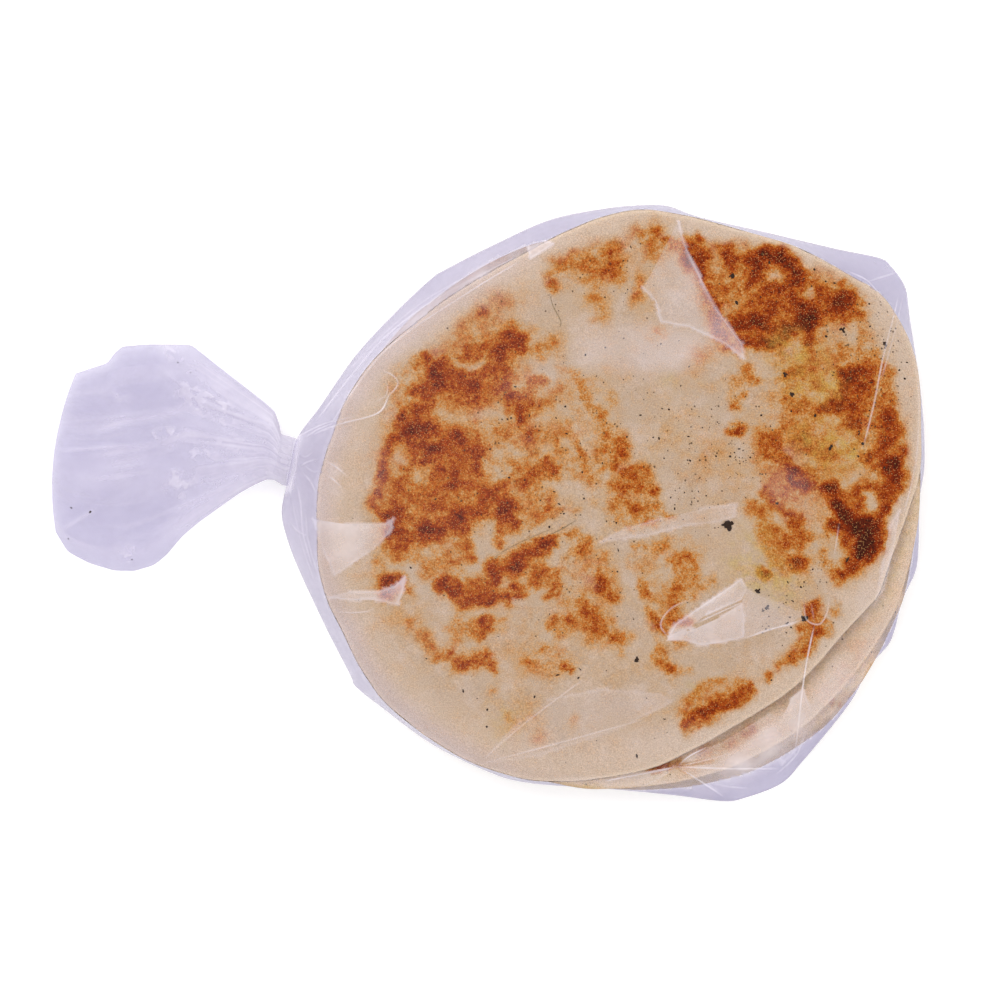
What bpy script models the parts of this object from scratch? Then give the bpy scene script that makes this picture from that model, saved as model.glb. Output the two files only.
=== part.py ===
"""A clear bag of round flatbreads lying flat, gathered at the neck with its open end fanned out."""

import math

import bmesh
import bpy
import numpy as np

# Sizes and places are in millimetres and become metres as each mesh is made.
# X runs along the bag with the neck at the left, +Z is up, and the bag lies on z = 0.
MM = 0.001
OBJECT_NAME = "bag"
COLLECTION = "arabic_flatbread"

# The stack from the bottom up: centre x, centre y, mean radius, and what each rim adds to a circle
# as (waves round the rim, share of the radius, direction of a crest in degrees).
BREADS = (
    (51.4, 5.0, 113.2, ((2, 0.085, 33.0), (3, 0.024, 20.0))),
    (57.8, -2.3, 115.5, ((2, 0.035, 23.0), (3, 0.036, -57.6))),
    (56.5, -0.3, 115.1, ((2, 0.056, 27.0), (3, 0.018, -58.5))),
    (52.2, 4.1, 115.5, ((2, 0.097, 33.5), (3, 0.016, 28.0), (5, 0.012, 28.0))),
)
BREAD_THICKNESS = 8.1
RIM_ROUNDING = 6.0
DOME = 1.4
FILM_GAP = 0.7

# Plan outline of the film over the breads, anticlockwise from the right end of the bag.
BODY_OUTLINE = (
    (175.2, 17.0), (174.0, 42.0), (169.2, 75.0), (167.4, 87.0), (161.5, 95.6), (156.8, 98.8),
    (139.6, 102.4), (110.8, 109.2), (84.8, 115.2), (72.0, 119.6), (61.2, 119.9), (46.0, 118.4),
    (24.8, 114.0), (3.2, 104.4), (-17.2, 94.0), (-23.2, 90.0), (-36.0, 78.0), (-52.8, 60.0),
    (-67.6, 38.8), (-76.4, 26.8), (-79.2, 16.4), (-81.2, 6.4), (-82.8, -3.2), (-81.2, -12.0),
    (-76.4, -25.2), (-65.2, -49.2), (-55.2, -68.8), (-53.2, -73.2), (-43.2, -81.2), (-22.4, -96.4),
    (0.4, -107.6), (16.8, -112.0), (48.8, -114.4), (74.0, -116.8), (94.0, -119.2), (102.8, -118.0),
    (117.2, -112.4), (125.6, -104.0), (144.8, -80.4), (152.8, -65.6), (160.4, -56.8), (163.2, -50.4),
    (166.4, -38.4), (171.6, -26.8), (172.8, -16.4), (173.2, 1.6),
)
BODY_CENTRE = (48.8, 1.6)
SEAM_HEIGHT = 13.0
# The flat base stops this far inside the lowest bread's rim, and the film curves up from it.
BASE_INSET = 5.0
LEAST_RISE = 6.0
RISE_CURVE = 1.4
LEAST_SKIRT = 1.5
LEAST_LIFT = 0.1

# The body's mesh: steps round it, and rings out from its middle to the top rim and on to the seam.
BODY_STEPS = 112
RINGS_OVER_BREAD = 6
RINGS_OVER_RIM = 5
RINGS_TO_SEAM = 7
RIM_BAND = 9.0
BASE_CORE = 0.6
SHEET_STEP = 2.0
SHEET_ROUNDS = 900

# Folds in the film of the body, fanning out from the neck.
NECK_POINT = (-80.0, 17.0)
NECK_FOLDS = 15
NECK_FOLD_DEPTH = 1.1
NECK_FOLD_REACH = 20.0

# Cross-lines of the neck and tail, from inside the body to the mouth: upper end and lower end.
TAIL_LINES = (
    ((-70.0, 25.0), (-70.0, 10.0)),
    ((-77.0, 26.6), (-80.0, 9.4)),
    ((-83.6, 28.0), (-86.4, 10.0)),
    ((-83.2, 33.6), (-92.4, 7.0)),
    ((-88.0, 39.6), (-101.0, 1.5)),
    ((-98.0, 48.0), (-111.0, -4.4)),
    ((-109.0, 56.4), (-121.0, -10.4)),
    ((-119.2, 64.0), (-129.4, -17.8)),
    ((-131.0, 64.3), (-136.0, -24.8)),
    ((-141.0, 64.0), (-142.6, -27.2)),
    ((-149.2, 61.6), (-150.4, -27.2)),
    ((-154.6, 56.2), (-158.0, -25.2)),
    ((-160.0, 54.0), (-164.4, -22.6)),
    ((-166.0, 52.2), (-170.4, -18.2)),
)
MOUTH_BOW = 6.6
TAIL_SECTIONS = 27
TAIL_STEPS = 22
NECK_THICKNESS = 10.5
TAIL_THICKNESS = 2.6
EDGE_THICKNESS = 1.2
NECK_HEIGHT = 12.6
MOUTH_HEIGHT = 5.0
# Shares of the length from the body to the mouth: where the neck ends, and how long it takes to fan out.
NECK_SHARE = 0.14
FAN_SHARE = 0.5
TAIL_FLOOR = 0.3
# Pleats across the tail: how many waves fit in its width, their height at the mouth, and a phase.
TAIL_PLEATS = ((2.0, 1.5, 0.6), (4.5, 1.5, 2.1), (8.0, 0.8, 4.0))
NECK_PLEATS = 6.0
NECK_PLEAT_SHARE = 0.14

FILM_COLOUR = (0.78, 0.75, 0.86, 1.0)
FILM_ROUGHNESS = 0.22


def clear_scene():
    for item in list(bpy.context.scene.objects):
        bpy.data.objects.remove(item, do_unlink=True)


def film_material():
    material = bpy.data.materials.new("clear_film")
    material.use_nodes = True
    shader = material.node_tree.nodes["Principled BSDF"]
    shader.inputs["Base Color"].default_value = FILM_COLOUR
    shader.inputs["Roughness"].default_value = FILM_ROUGHNESS
    shader.inputs["Metallic"].default_value = 0.0
    return material


def through_points(points, count, closed):
    """A smooth line of count points through the given points (a Catmull-Rom spline)."""
    points = np.array(points, dtype=float)
    spans = len(points) if closed else len(points) - 1
    along = np.linspace(0.0, spans, count, endpoint=not closed)
    span = np.minimum(along.astype(int), spans - 1)
    t = (along - span)[:, None]
    corner = [span + shift for shift in (-1, 0, 1, 2)]
    if closed:
        corner = [index % len(points) for index in corner]
    else:
        corner = [np.clip(index, 0, len(points) - 1) for index in corner]
    before, start, end, after = (points[index] for index in corner)
    return 0.5 * (
        2.0 * start
        + (end - before) * t
        + (2.0 * before - 5.0 * start + 4.0 * end - after) * t**2
        + (3.0 * start - before - 3.0 * end + after) * t**3
    )


def reach_from_centre(outline, angle):
    """Distance from the body's centre to an outline, in the directions of angle."""
    offset = np.asarray(outline) - BODY_CENTRE
    direction = np.arctan2(offset[:, 1], offset[:, 0])
    distance = np.hypot(offset[:, 0], offset[:, 1])
    order = np.argsort(direction)
    return np.interp(angle, direction[order], distance[order], period=2.0 * math.pi)


def rim_radius(bread, angle):
    mean_radius, waves = bread[2:]
    share = sum(part * np.cos(order * (angle - math.radians(crest))) for order, part, crest in waves)
    return mean_radius * (1.0 + share)


def rim_outline(bread, count=360):
    angle = np.linspace(0.0, 2.0 * math.pi, count, endpoint=False)
    radius = rim_radius(bread, angle)
    return np.stack([bread[0] + radius * np.cos(angle), bread[1] + radius * np.sin(angle)], axis=1)


def stack_height(x, y):
    """Height of the highest bread at each place of the plan, with its rounded rim."""
    height = np.zeros_like(x)
    for level, bread in enumerate(BREADS, start=1):
        across = x - bread[0]
        along = y - bread[1]
        radius = np.hypot(across, along)
        inside = rim_radius(bread, np.arctan2(along, across)) - radius
        depth = np.clip(1.0 - inside / RIM_ROUNDING, 0.0, 1.0)
        rounding = 0.5 * BREAD_THICKNESS * (1.0 - np.sqrt(1.0 - depth**2))
        dome = DOME * (1.0 - (radius / bread[2]) ** 2)
        top = level * BREAD_THICKNESS - rounding + dome
        height = np.where(inside > 0.0, np.maximum(height, top), height)
    return height


def film_sheet(outline):
    """The film as a tight sheet over the stack, pinned at the seam: grid origin and heights."""
    low = outline.min(axis=0) - 2.0 * SHEET_STEP
    high = outline.max(axis=0) + 2.0 * SHEET_STEP
    across = np.arange(low[0], high[0], SHEET_STEP)
    along = np.arange(low[1], high[1], SHEET_STEP)
    x, y = np.meshgrid(across, along, indexing="ij")
    radius = np.hypot(x - BODY_CENTRE[0], y - BODY_CENTRE[1])
    angle = np.arctan2(y - BODY_CENTRE[1], x - BODY_CENTRE[0])
    free = radius < reach_from_centre(outline, angle)
    breads = np.where(free, stack_height(x, y) + FILM_GAP, SEAM_HEIGHT)
    sheet = np.maximum(breads, SEAM_HEIGHT)
    for _ in range(SHEET_ROUNDS):
        inner = sheet[:-2, 1:-1] + sheet[2:, 1:-1] + sheet[1:-1, :-2] + sheet[1:-1, 2:]
        sheet[1:-1, 1:-1] = np.maximum(0.25 * inner, breads[1:-1, 1:-1])
        sheet[~free] = SEAM_HEIGHT
    return low, sheet


def read_sheet(low, sheet, x, y):
    """Height of the sheet at a place, between the four nearest points of its grid."""
    i = (x - low[0]) / SHEET_STEP
    j = (y - low[1]) / SHEET_STEP
    i0 = np.floor(i).astype(int)
    j0 = np.floor(j).astype(int)
    s = i - i0
    t = j - j0
    near = sheet[i0, j0] * (1.0 - t) + sheet[i0, j0 + 1] * t
    far = sheet[i0 + 1, j0] * (1.0 - t) + sheet[i0 + 1, j0 + 1] * t
    return near * (1.0 - s) + far * s


def neck_folds(x, y):
    """Folds that fan out from the neck over the film and fade away from it."""
    across = x - NECK_POINT[0]
    along = y - NECK_POINT[1]
    fade = np.exp(-np.hypot(across, along) / NECK_FOLD_REACH)
    return NECK_FOLD_DEPTH * fade * np.cos(NECK_FOLDS * np.arctan2(along, across))


def body_mesh():
    """A sphere whose rings are moved out to the bread's rim, the film's seam and the flat base."""
    outline = through_points(BODY_OUTLINE, 8 * len(BODY_OUTLINE), closed=True)
    top_rim = rim_outline(BREADS[-1])
    base_rim = rim_outline(BREADS[0])
    low, sheet = film_sheet(outline)
    rings = RINGS_OVER_BREAD + RINGS_OVER_RIM + RINGS_TO_SEAM
    knots = (0, RINGS_OVER_BREAD, RINGS_OVER_BREAD + RINGS_OVER_RIM, rings)

    mesh = bmesh.new()
    bmesh.ops.create_uvsphere(mesh, u_segments=BODY_STEPS, v_segments=2 * rings, radius=1.0)
    place = np.array([vertex.co[:] for vertex in mesh.verts])
    angle = np.arctan2(place[:, 1], place[:, 0])
    latitude = np.arcsin(np.clip(place[:, 2], -1.0, 1.0))
    ring = np.rint(rings * (1.0 - np.abs(latitude) / (0.5 * math.pi)))
    upper = latitude > 1e-4

    seam = reach_from_centre(outline, angle)
    rim = np.minimum(reach_from_centre(top_rim, angle), seam - LEAST_SKIRT)
    base = np.minimum(reach_from_centre(base_rim, angle) - BASE_INSET, seam - LEAST_RISE)
    inner = np.where(upper, rim - RIM_BAND, BASE_CORE * base)
    outer = np.where(upper, rim, base)
    first, second, third = (np.clip((ring - a) / (b - a), 0.0, 1.0) for a, b in zip(knots, knots[1:]))
    radius = inner * first + (outer - inner) * second + (seam - outer) * third
    x = BODY_CENTRE[0] + radius * np.cos(angle)
    y = BODY_CENTRE[1] + radius * np.sin(angle)

    over = read_sheet(low, sheet, x, y) + neck_folds(x, y)
    over = np.where(ring == rings, SEAM_HEIGHT, np.maximum(over, SEAM_HEIGHT + LEAST_LIFT))
    under = np.where(ring > knots[2], SEAM_HEIGHT * third**RISE_CURVE, 0.0)
    z = np.where(upper, over, under)
    for vertex, spot in zip(mesh.verts, np.stack([x, y, z], axis=1) * MM):
        vertex.co = spot

    base_faces = [face for face in mesh.faces if max(corner.co.z for corner in face.verts) < 1e-7]
    bmesh.ops.dissolve_faces(mesh, faces=base_faces, use_verts=True)
    return finished_mesh(mesh, "body")


def tail_mesh():
    """A loft from the round gathered neck to the wide pleated mouth."""
    upper = through_points([line[0] for line in TAIL_LINES], TAIL_SECTIONS, closed=False)
    lower = through_points([line[1] for line in TAIL_LINES], TAIL_SECTIONS, closed=False)
    across = 0.5 - 0.5 * np.cos(np.linspace(0.0, math.pi, TAIL_STEPS + 1))
    lens = np.sqrt(np.maximum(1.0 - (2.0 * across - 1.0) ** 2, 0.0))

    mesh = bmesh.new()
    rings = []
    for index in range(TAIL_SECTIONS):
        along = index / (TAIL_SECTIONS - 1)
        spread = min(max((along - NECK_SHARE) / FAN_SHARE, 0.0), 1.0)
        line = upper[index] + (lower[index] - upper[index]) * across[:, None]
        line[:, 0] -= MOUTH_BOW * along**4 * lens**2
        middle = NECK_HEIGHT + (MOUTH_HEIGHT - NECK_HEIGHT) * spread
        wave = sum(
            height * np.sin(2.0 * math.pi * waves * across + phase) for waves, height, phase in TAIL_PLEATS
        )
        middle = middle + spread * lens * wave
        pleat = 1.0 + NECK_PLEAT_SHARE * (1.0 - spread) * np.cos(2.0 * math.pi * NECK_PLEATS * across)
        thickness = NECK_THICKNESS + (TAIL_THICKNESS - NECK_THICKNESS) * spread
        half = 0.5 * (EDGE_THICKNESS + thickness * lens * pleat)
        half = np.minimum(half, middle - TAIL_FLOOR)
        top = [mesh.verts.new((*spot * MM, z * MM)) for spot, z in zip(line, middle + half)]
        bottom = [mesh.verts.new((*spot * MM, z * MM)) for spot, z in zip(line, middle - half)]
        rings.append(top + bottom[::-1])

    count = len(rings[0])
    for near, far in zip(rings, rings[1:]):
        for corner in range(count):
            after = (corner + 1) % count
            mesh.faces.new((near[corner], near[after], far[after], far[corner]))
    mesh.faces.new(rings[0][::-1])
    mesh.faces.new(rings[-1])
    return finished_mesh(mesh, "tail")


def finished_mesh(mesh, name):
    bmesh.ops.recalc_face_normals(mesh, faces=mesh.faces)
    data = bpy.data.meshes.new(name)
    mesh.to_mesh(data)
    mesh.free()
    return data


def join_tail(body, tail):
    """Makes the body and the tail one closed solid."""
    union = body.modifiers.new("join", "BOOLEAN")
    union.operation = "UNION"
    union.solver = "EXACT"
    union.object = tail
    bpy.context.view_layer.objects.active = body
    bpy.ops.object.modifier_apply(modifier=union.name)
    bpy.data.objects.remove(tail, do_unlink=True)


def main():
    clear_scene()
    collection = bpy.data.collections.new(COLLECTION)
    bpy.context.scene.collection.children.link(collection)
    bag = bpy.data.objects.new(OBJECT_NAME, body_mesh())
    tail = bpy.data.objects.new("tail", tail_mesh())
    collection.objects.link(bag)
    collection.objects.link(tail)
    bpy.context.view_layer.update()
    join_tail(bag, tail)
    bag.data.materials.clear()
    bag.data.materials.append(film_material())
    bag.data.shade_smooth()
    bag.data.set_sharp_from_angle(angle=math.radians(50.0))


main()
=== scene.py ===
"""Looks of a clear bag of round flatbreads: toasted breads, creased film, gathered neck and open end."""

import functools
import math

import bpy
import numpy as np
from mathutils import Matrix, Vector
from mathutils.geometry import delaunay_2d_cdt


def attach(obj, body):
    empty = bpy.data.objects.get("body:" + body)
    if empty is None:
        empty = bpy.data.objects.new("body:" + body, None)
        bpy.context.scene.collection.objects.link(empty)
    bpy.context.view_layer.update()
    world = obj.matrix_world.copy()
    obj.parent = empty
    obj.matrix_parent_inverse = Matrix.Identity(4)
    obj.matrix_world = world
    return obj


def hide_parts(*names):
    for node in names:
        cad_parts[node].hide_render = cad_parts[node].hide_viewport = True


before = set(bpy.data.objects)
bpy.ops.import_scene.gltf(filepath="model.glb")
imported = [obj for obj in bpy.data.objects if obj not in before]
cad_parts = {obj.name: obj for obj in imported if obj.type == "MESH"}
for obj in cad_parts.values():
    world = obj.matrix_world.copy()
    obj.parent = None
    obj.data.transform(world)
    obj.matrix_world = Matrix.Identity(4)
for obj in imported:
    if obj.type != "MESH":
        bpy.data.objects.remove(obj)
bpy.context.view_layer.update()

# Sizes and places are in millimetres in the part's own frame, and become metres as each mesh is made.
MM = 0.001
BODY = "root"
NODE = "bag"
TURN = 2.0 * math.pi
LATTICE = 97
OCTAVE_SHIFT = (7.3, -3.1)

# The stack. The top bread's rim is drawn through points. Each lower rim is its centre, its mean radius
# and what it adds to a circle, as (waves round the rim, share of the radius, direction of a crest).
THICKNESS = 8.1
BREAD_GAP = 0.35
DOME = 1.4
DOME_RADIUS = 115.0
RIM_ROUNDING = 6.0
RIM_SLOPE = 1.2
RIM_SLOPE_REACH = 12.0
TOP_CENTRE = (52.2, 4.1)
TOP_RIM = (
    (173, 28), (172.4, 48), (169.6, 62), (163.6, 75.2), (156, 84.8), (144.4, 91.6), (129.6, 99.6),
    (116.8, 104.8), (96.8, 110.8), (79.6, 115.2), (62, 117.6), (44.8, 114.4), (22.8, 104.8), (2, 93.6),
    (-18, 80.8), (-42.4, 61.2), (-55.6, 44), (-62, 28.4), (-65.6, 17.2), (-68, 4.8), (-68.4, -20.8),
    (-64.8, -37.2), (-58, -51.2), (-49.2, -68.4), (-38, -82.4), (-12.8, -100.4), (11.6, -109.2),
    (28.8, -110.8), (44.8, -110), (63.2, -106.4), (76.8, -100.8), (100, -88), (121.2, -74.4), (132, -64),
    (142, -52), (151.2, -42), (156.8, -34.8), (162.4, -19.2), (168, -3.6), (172.4, 12),
)
LOWER_RIMS = (
    (51.4, 5.0, 113.2, ((2, 0.085, 33.0), (3, 0.024, 20.0))),
    (57.8, -2.3, 115.5, ((2, 0.035, 23.0), (3, 0.036, -57.6))),
    (56.0, -2.7, 115.1, ((2, 0.056, 27.0), (3, 0.018, -58.5))),
)
# Small waves round every rim, and their size on a lower bread and on the top one.
RIPPLES = (9, 14, 23, 37)
RIPPLE_SIZES = (2.4, 1.2)
# Swells of an upper face, as (size, height, seed), which fade out towards the rim.
SWELLS = ((42.0, 0.45, 11), (9.0, 0.16, 31))
SWELL_REACH = 20.0
# Points round a bread, rings on a face and rings of its rounded rim, for a lower bread and the top one.
BREAD_MESHES = ((400, 40, 8), (530, 84, 10))
TOAST_LIFT = 0.18

# The film's seam in plan, anticlockwise from the right end of the bag.
SEAM = (
    (175.2, 17), (174, 42), (169.2, 75), (167.4, 87), (161.5, 95.6), (156.8, 98.8), (139.6, 102.4),
    (110.8, 109.2), (84.8, 115.2), (72, 119.6), (61.2, 119.9), (46, 118.4), (24.8, 114), (3.2, 104.4),
    (-17.2, 94), (-23.2, 90), (-36, 78), (-52.8, 60), (-67.6, 38.8), (-76.4, 26.8), (-79.2, 16.4),
    (-81.2, 6.4), (-82.8, -3.2), (-81.2, -12), (-76.4, -25.2), (-65.2, -49.2), (-55.2, -68.8),
    (-53.2, -73.2), (-43.2, -81.2), (-22.4, -96.4), (0.4, -107.6), (16.8, -112), (48.8, -114.4),
    (74, -116.8), (94, -119.2), (102.8, -118), (117.2, -112.4), (125.6, -104), (144.8, -80.4),
    (152.8, -65.6), (160.4, -56.8), (163.2, -50.4), (166.4, -38.4), (171.6, -26.8), (172.8, -16.4),
    (173.2, 1.6),
)
FILM_CENTRE = (48.8, 1.6)
SEAM_HEIGHT = 13.0
SEAM_LIP = 0.02
SEAM_REACH = 3.0
FILM_GAP = 0.3
FLOOR_GAP = 0.15
BASE_INSET = 5.0
LEAST_RISE = 6.0
RISE_CURVE = 1.4
SIDE_RINGS = 14
BASE_RINGS = 11
SHEET_STEP = 1.0
SHEET_ROUNDS = 1500
SHEET_MARGIN = 3.0
NECK_POINT = (-80.0, 17.0)
NECK_FOLDS = 9.0
NECK_RELIEF = 0.07
NECK_REACH = 8.0
NECK_WOBBLE = 0.4

# Flat facets where the film stands off the bread: outline, index of the edge that it rises from,
# its slope, and how strong its painted sheen (a painted reflection) is at that edge and across from it.
POCKETS = (
    (((76, 113), (62, 86), (67, 81), (69, 73), (80, 71), (95, 64), (102, 58), (101, 64), (90, 79),
        (78, 104)), 0, 0.07, 0.35, 0.8),
    (((-70, -6), (-57, -8), (-41, -8), (-38, -6), (-39, -11), (-46, -18), (-61, -28),
        (-65, -20)), 0, 0.08, 1, 0.7),
    (((-65, -37), (-55, -35), (-44, -35), (-37, -33), (-33, -29), (-34, -34), (-36, -40), (-45, -38),
        (-55, -38)), 0, 0.1, 0.7, 0.9),
    (((45, -15), (55, -10), (69, -6), (85, -2), (99, 0), (98, -5), (91, -7), (81, -8),
        (65, -12)), 2, 0.1, 0.3, 0.5),
    (((72, -53), (75, -48), (85, -41), (94, -35), (101, -30), (103, -34), (101, -38), (94, -41), (87, -44),
        (81, -49)), 8, 0.1, 0.6, 0.9),
    (((72, -54), (82, -50), (93, -45), (101, -40), (102, -46), (102, -53), (93, -55), (85, -56),
        (78, -54)), 1, 0.1, 1, 0.9),
    (((103, -34), (109, -37), (119, -41), (125, -44), (121, -47), (112, -50), (103, -53),
        (101, -40)), 7, 0.08, 0.6, 0.3),
    (((-4, -104), (13, -87), (24, -78), (45, -74), (69, -76), (73, -79), (53, -89),
        (21, -100)), 1, 0.05, 0.2, 0.35),
    (((16, 103), (23, 105), (26, 104), (23, 102), (17, 98)), 0, 0.15, 0.9, 0.9),
    (((164, -3), (162, -16), (158, -34), (155, -38), (158, -22), (160, -10)), 4, 0.12, 0.5, 0.5),
    (((126, -74), (130, -86), (124, -98), (118, -104), (115, -96), (116, -90),
        (121, -78)), 5, 0.1, 0.8, 0.6),
    (((76, -105), (92, -104), (112, -104), (100, -108), (88, -111)), 0, 0.06, 0.7, 0.4),
    (((74, -105), (66, -111), (46, -113), (52, -109), (62, -107)), 4, 0.06, 0.6, 0.4),
    (((78, -103), (92, -96), (112, -84), (118, -86), (104, -96), (92, -101)), 1, 0.06, 0.4, 0.4),
)
POCKET_EDGE = 0.35
POCKET_TOP = 1.8
POCKET_LINE = 0.6
# Broad soft places where the film only just leaves the bread, given a painted sheen for their soft
# reflections;
# at the lower right some also lay painted light over the shade between the breads. These and the other soft
# ovals below are given as centre, half sizes, turn in degrees and strength.
SHEEN_BANDS = (
    (64, 62, 34, 12, 0, 0.6), (20, 50, 22, 9, 20, 0.15), (120, 6, 14, 9, -30, 0.2),
    (-50, 20, 12, 26, 10, 0.15), (60, -96, 44, 9, 6, 0.15), (152, -38, 6, 10, -20, 0.25),
    (112, -96, 36, 9, 33, 1), (60, -112, 40, 3, -3, 0.5), (139, -72, 18, 8, 52, 0.7),
    (-64, -10, 6, 30, 8, 0.25), (-62, 14, 5, 4, -35, 0.7), (-63, 8, 4, 8, 40, 0.5),
)
OVAL_CORE = 0.35
OVAL_EDGE = 1.25
# Thin ridges pinched up in the film: the line, and the ridge's strength.
CREASES = (
    (((-70, 28), (-59, 32), (-47, 35), (-42, 38), (-39, 45)), 1),
    (((-41, 42), (-37, 46), (-36, 49), (-39, 52), (-43, 53)), 0.8),
    (((-45, 41), (-41, 43), (-40, 47), (-42, 50)), 0.5),
    (((-69, 33), (-56, 50), (-40, 68), (-19, 83), (14, 100)), 0.7),
    (((-64, 30), (-54, 45), (-38, 64), (-7, 85), (13, 97)), 0.8),
    (((-57, 52), (-43, 67), (-23, 83), (5, 98)), 0.4), (((164, 82), (158, 60), (154, 40), (150, 24)), 0.8),
    (((166, 82), (161, 64), (157, 50)), 0.5), (((101, -54), (113, -50), (126, -46)), 0.9),
    (((126, -39), (127, -46), (132, -48), (135, -44), (136, -38)), 0.7), (((129, -40), (130, -46)), 0.6),
    (((130, -49), (127, -64), (125, -80), (123, -101)), 1), (((152, 89), (158, 91), (164, 93)), 0.9),
    (((76, -105), (98, -106), (116, -106)), 1.1), (((76, -105), (85, -111), (94, -117)), 1.1),
    (((76, -105), (61, -108), (45, -111)), 1), (((76, -105), (80, -101), (88, -97)), 1),
    (((167, 69), (171, 56), (172, 42), (171, 18), (166, -4)), 0.5), (((41, 66), (46, 60)), 0.6),
    (((140, -8), (138, -22)), 0.5), (((82, -48), (93, -43), (104, -38)), 0.8),
    (((-74, 26), (-68, 30), (-60, 33)), 0.8), (((-76, 20), (-73, 19), (-70, 21)), 1),
    (((-77, 24), (-77, 15), (-79, 8), (-79, 2)), 1), (((-66, 18), (-61, 15), (-56, 11)), 1.2),
    (((-66, 12), (-62, 10), (-58, 6)), 1.2), (((-77, 14), (-72, 17), (-67, 18)), 0.9),
    (((-78, 26), (-66, 32), (-52, 35)), 0.8), (((-75, 17), (-70, 13), (-66, 14)), 0.7),
    (((-76, 14), (-71, 9), (-68, 2)), 0.6), (((-77, 10), (-75, 0), (-74, -12), (-70, -26)), 0.6),
    (((-79, 4), (-77, -6), (-74, -18), (-69, -32)), 0.5),
    (((-73, -2), (-72, -14), (-68, -28), (-62, -42)), 0.5), (((-80, -6), (-76, -11), (-71, -13)), 0.8),
    (((-64, -40), (-59, -43), (-49, -43), (-45, -41)), 0.6),
    (((81, -38), (74, -41), (70, -45), (69, -49), (72, -53)), 0.7),
    (((144, 93), (152, 89), (157, 82)), 0.7), (((103, -53), (112, -50), (121, -48), (125, -46)), 0.9),
    (((108, -40), (106, -47), (104, -52)), 0.4), (((76, -105), (66, -111), (58, -115)), 0.6),
    (((76, -105), (90, -112), (104, -114)), 0.5), (((76, -105), (96, -100), (114, -93), (124, -90)), 0.6),
    (((116, -108), (124, -100), (128, -88)), 0.6), (((-4, -104), (14, -88), (38, -70)), 0.5),
    (((-4, -104), (22, -97), (62, -86)), 0.6),
)
CREASE_HALF_WIDTH = 0.55
CREASE_HEIGHT = 0.26
CREASE_TAPER = 6.0
CREASE_END = 0.15
LINE_STEP = 1.4
PLAN_STEP = 1.35
RING_STEPS = 720
RIM_RINGS = (-4.0, -3.0, -2.2, -1.5, -0.9, -0.4, 0.0, 0.4, 0.8, 1.3, 1.9, 2.6, 3.5)
SEAM_RINGS = (0.45, 1.0, 1.8, 2.8)
RING_CLEARANCE = 0.7

# How dull (haze) the film is, and how strong its painted sheen is, beside the stack, over it and along its
# lines.
# The sheen paints the film's reflections and glints, and lays painted light over the shade near the rims and
# in the gaps; beside the stack, painted shade thickens the haze to the right and low side, and painted light
# thins it near the top bread's rim.
HAZE_BESIDE = 1.4
HAZE_UNDER = 0.7
PAINTED_SHADE_RIGHT = 0.3
PAINTED_SHADE_LOW = 0.2
HAZE_OVER_BREAD = 0.2
HAZE_OVER_RIM = 0.2
HAZE_OVER_GAP = 0.9
HAZE_BESIDE_SHARE = 1.24
HAZE_LOST_AT_NECK = 0.1
PAINTED_LIGHT_AT_RIM = 0.25
OPEN_GAP = 12.0
SHEEN_ON_LINES = 1.35
SHEEN_AT_NECK = 0.4
SHEEN_OVER_RIM = 0.5
SHEEN_NEAR_RIM = 0.3
SHEEN_OVER_GAP = 1.25
SHEEN_AT_RIM = 0.45
SHEEN_OVER_LEFT = 0.035
SHEEN_OVER_LEDGE = 0.5
NECK_JOINT = ((-77.6, 27.0), (-81.0, 7.0))
JOINT_CLEAR = 0.75
JOINT_REACH = (4.5, 1.0)
# Where these looks set in and where they are full: along the bag, across it, or inside the top rim.
NECK_ZONE = (-62.0, -78.0)
LEFT_ZONE = (45.0, -30.0)
FAR_LEFT_ZONE = (60.0, -10.0)
RIGHT_ZONE = (70.0, 165.0)
LOWER_ZONE = (60.0, -40.0)
LOWEST_ZONE = (-95.0, -112.0)
OUTSIDE_RIM = (-14.0, -1.0)
INSIDE_RIM = (7.0, -1.0)
TO_RIM = (12.0, 0.0)
FROM_RIM = (0.0, 12.0)
OVER_LEDGE = (-2.0, -12.0)
HAZY_GAP = (0.9, 5.0)

# Cross-lines of the neck and the fan, from just inside the body to the mouth: upper end and lower end.
TAIL_LINES = (
    ((-75.4, 25.8), (-79.8, 7.2)), ((-79.6, 27.2), (-82.6, 7.6)), ((-83, 28), (-85.6, 9.6)),
    ((-83.8, 32), (-89, 9.8)), ((-85.6, 37.2), (-94, 7.6)), ((-90.4, 41.4), (-100.4, 4)),
    ((-101, 49.6), (-108.6, -1.8)), ((-111, 57.4), (-116.4, -7.4)), ((-119.2, 64), (-123.2, -13.2)),
    ((-128, 64.2), (-129.2, -20.4)), ((-137, 64.2), (-134.4, -24.6)), ((-147, 63.4), (-142.4, -27)),
    ((-150.2, 60.8), (-150.4, -26.8)), ((-153.2, 56.6), (-160.4, -23.8)), ((-159.6, 54.6), (-169.2, -19.2)),
    ((-166, 52.4), (-174, -11.2)),
)
MOUTH_BOW = 4.6
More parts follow.
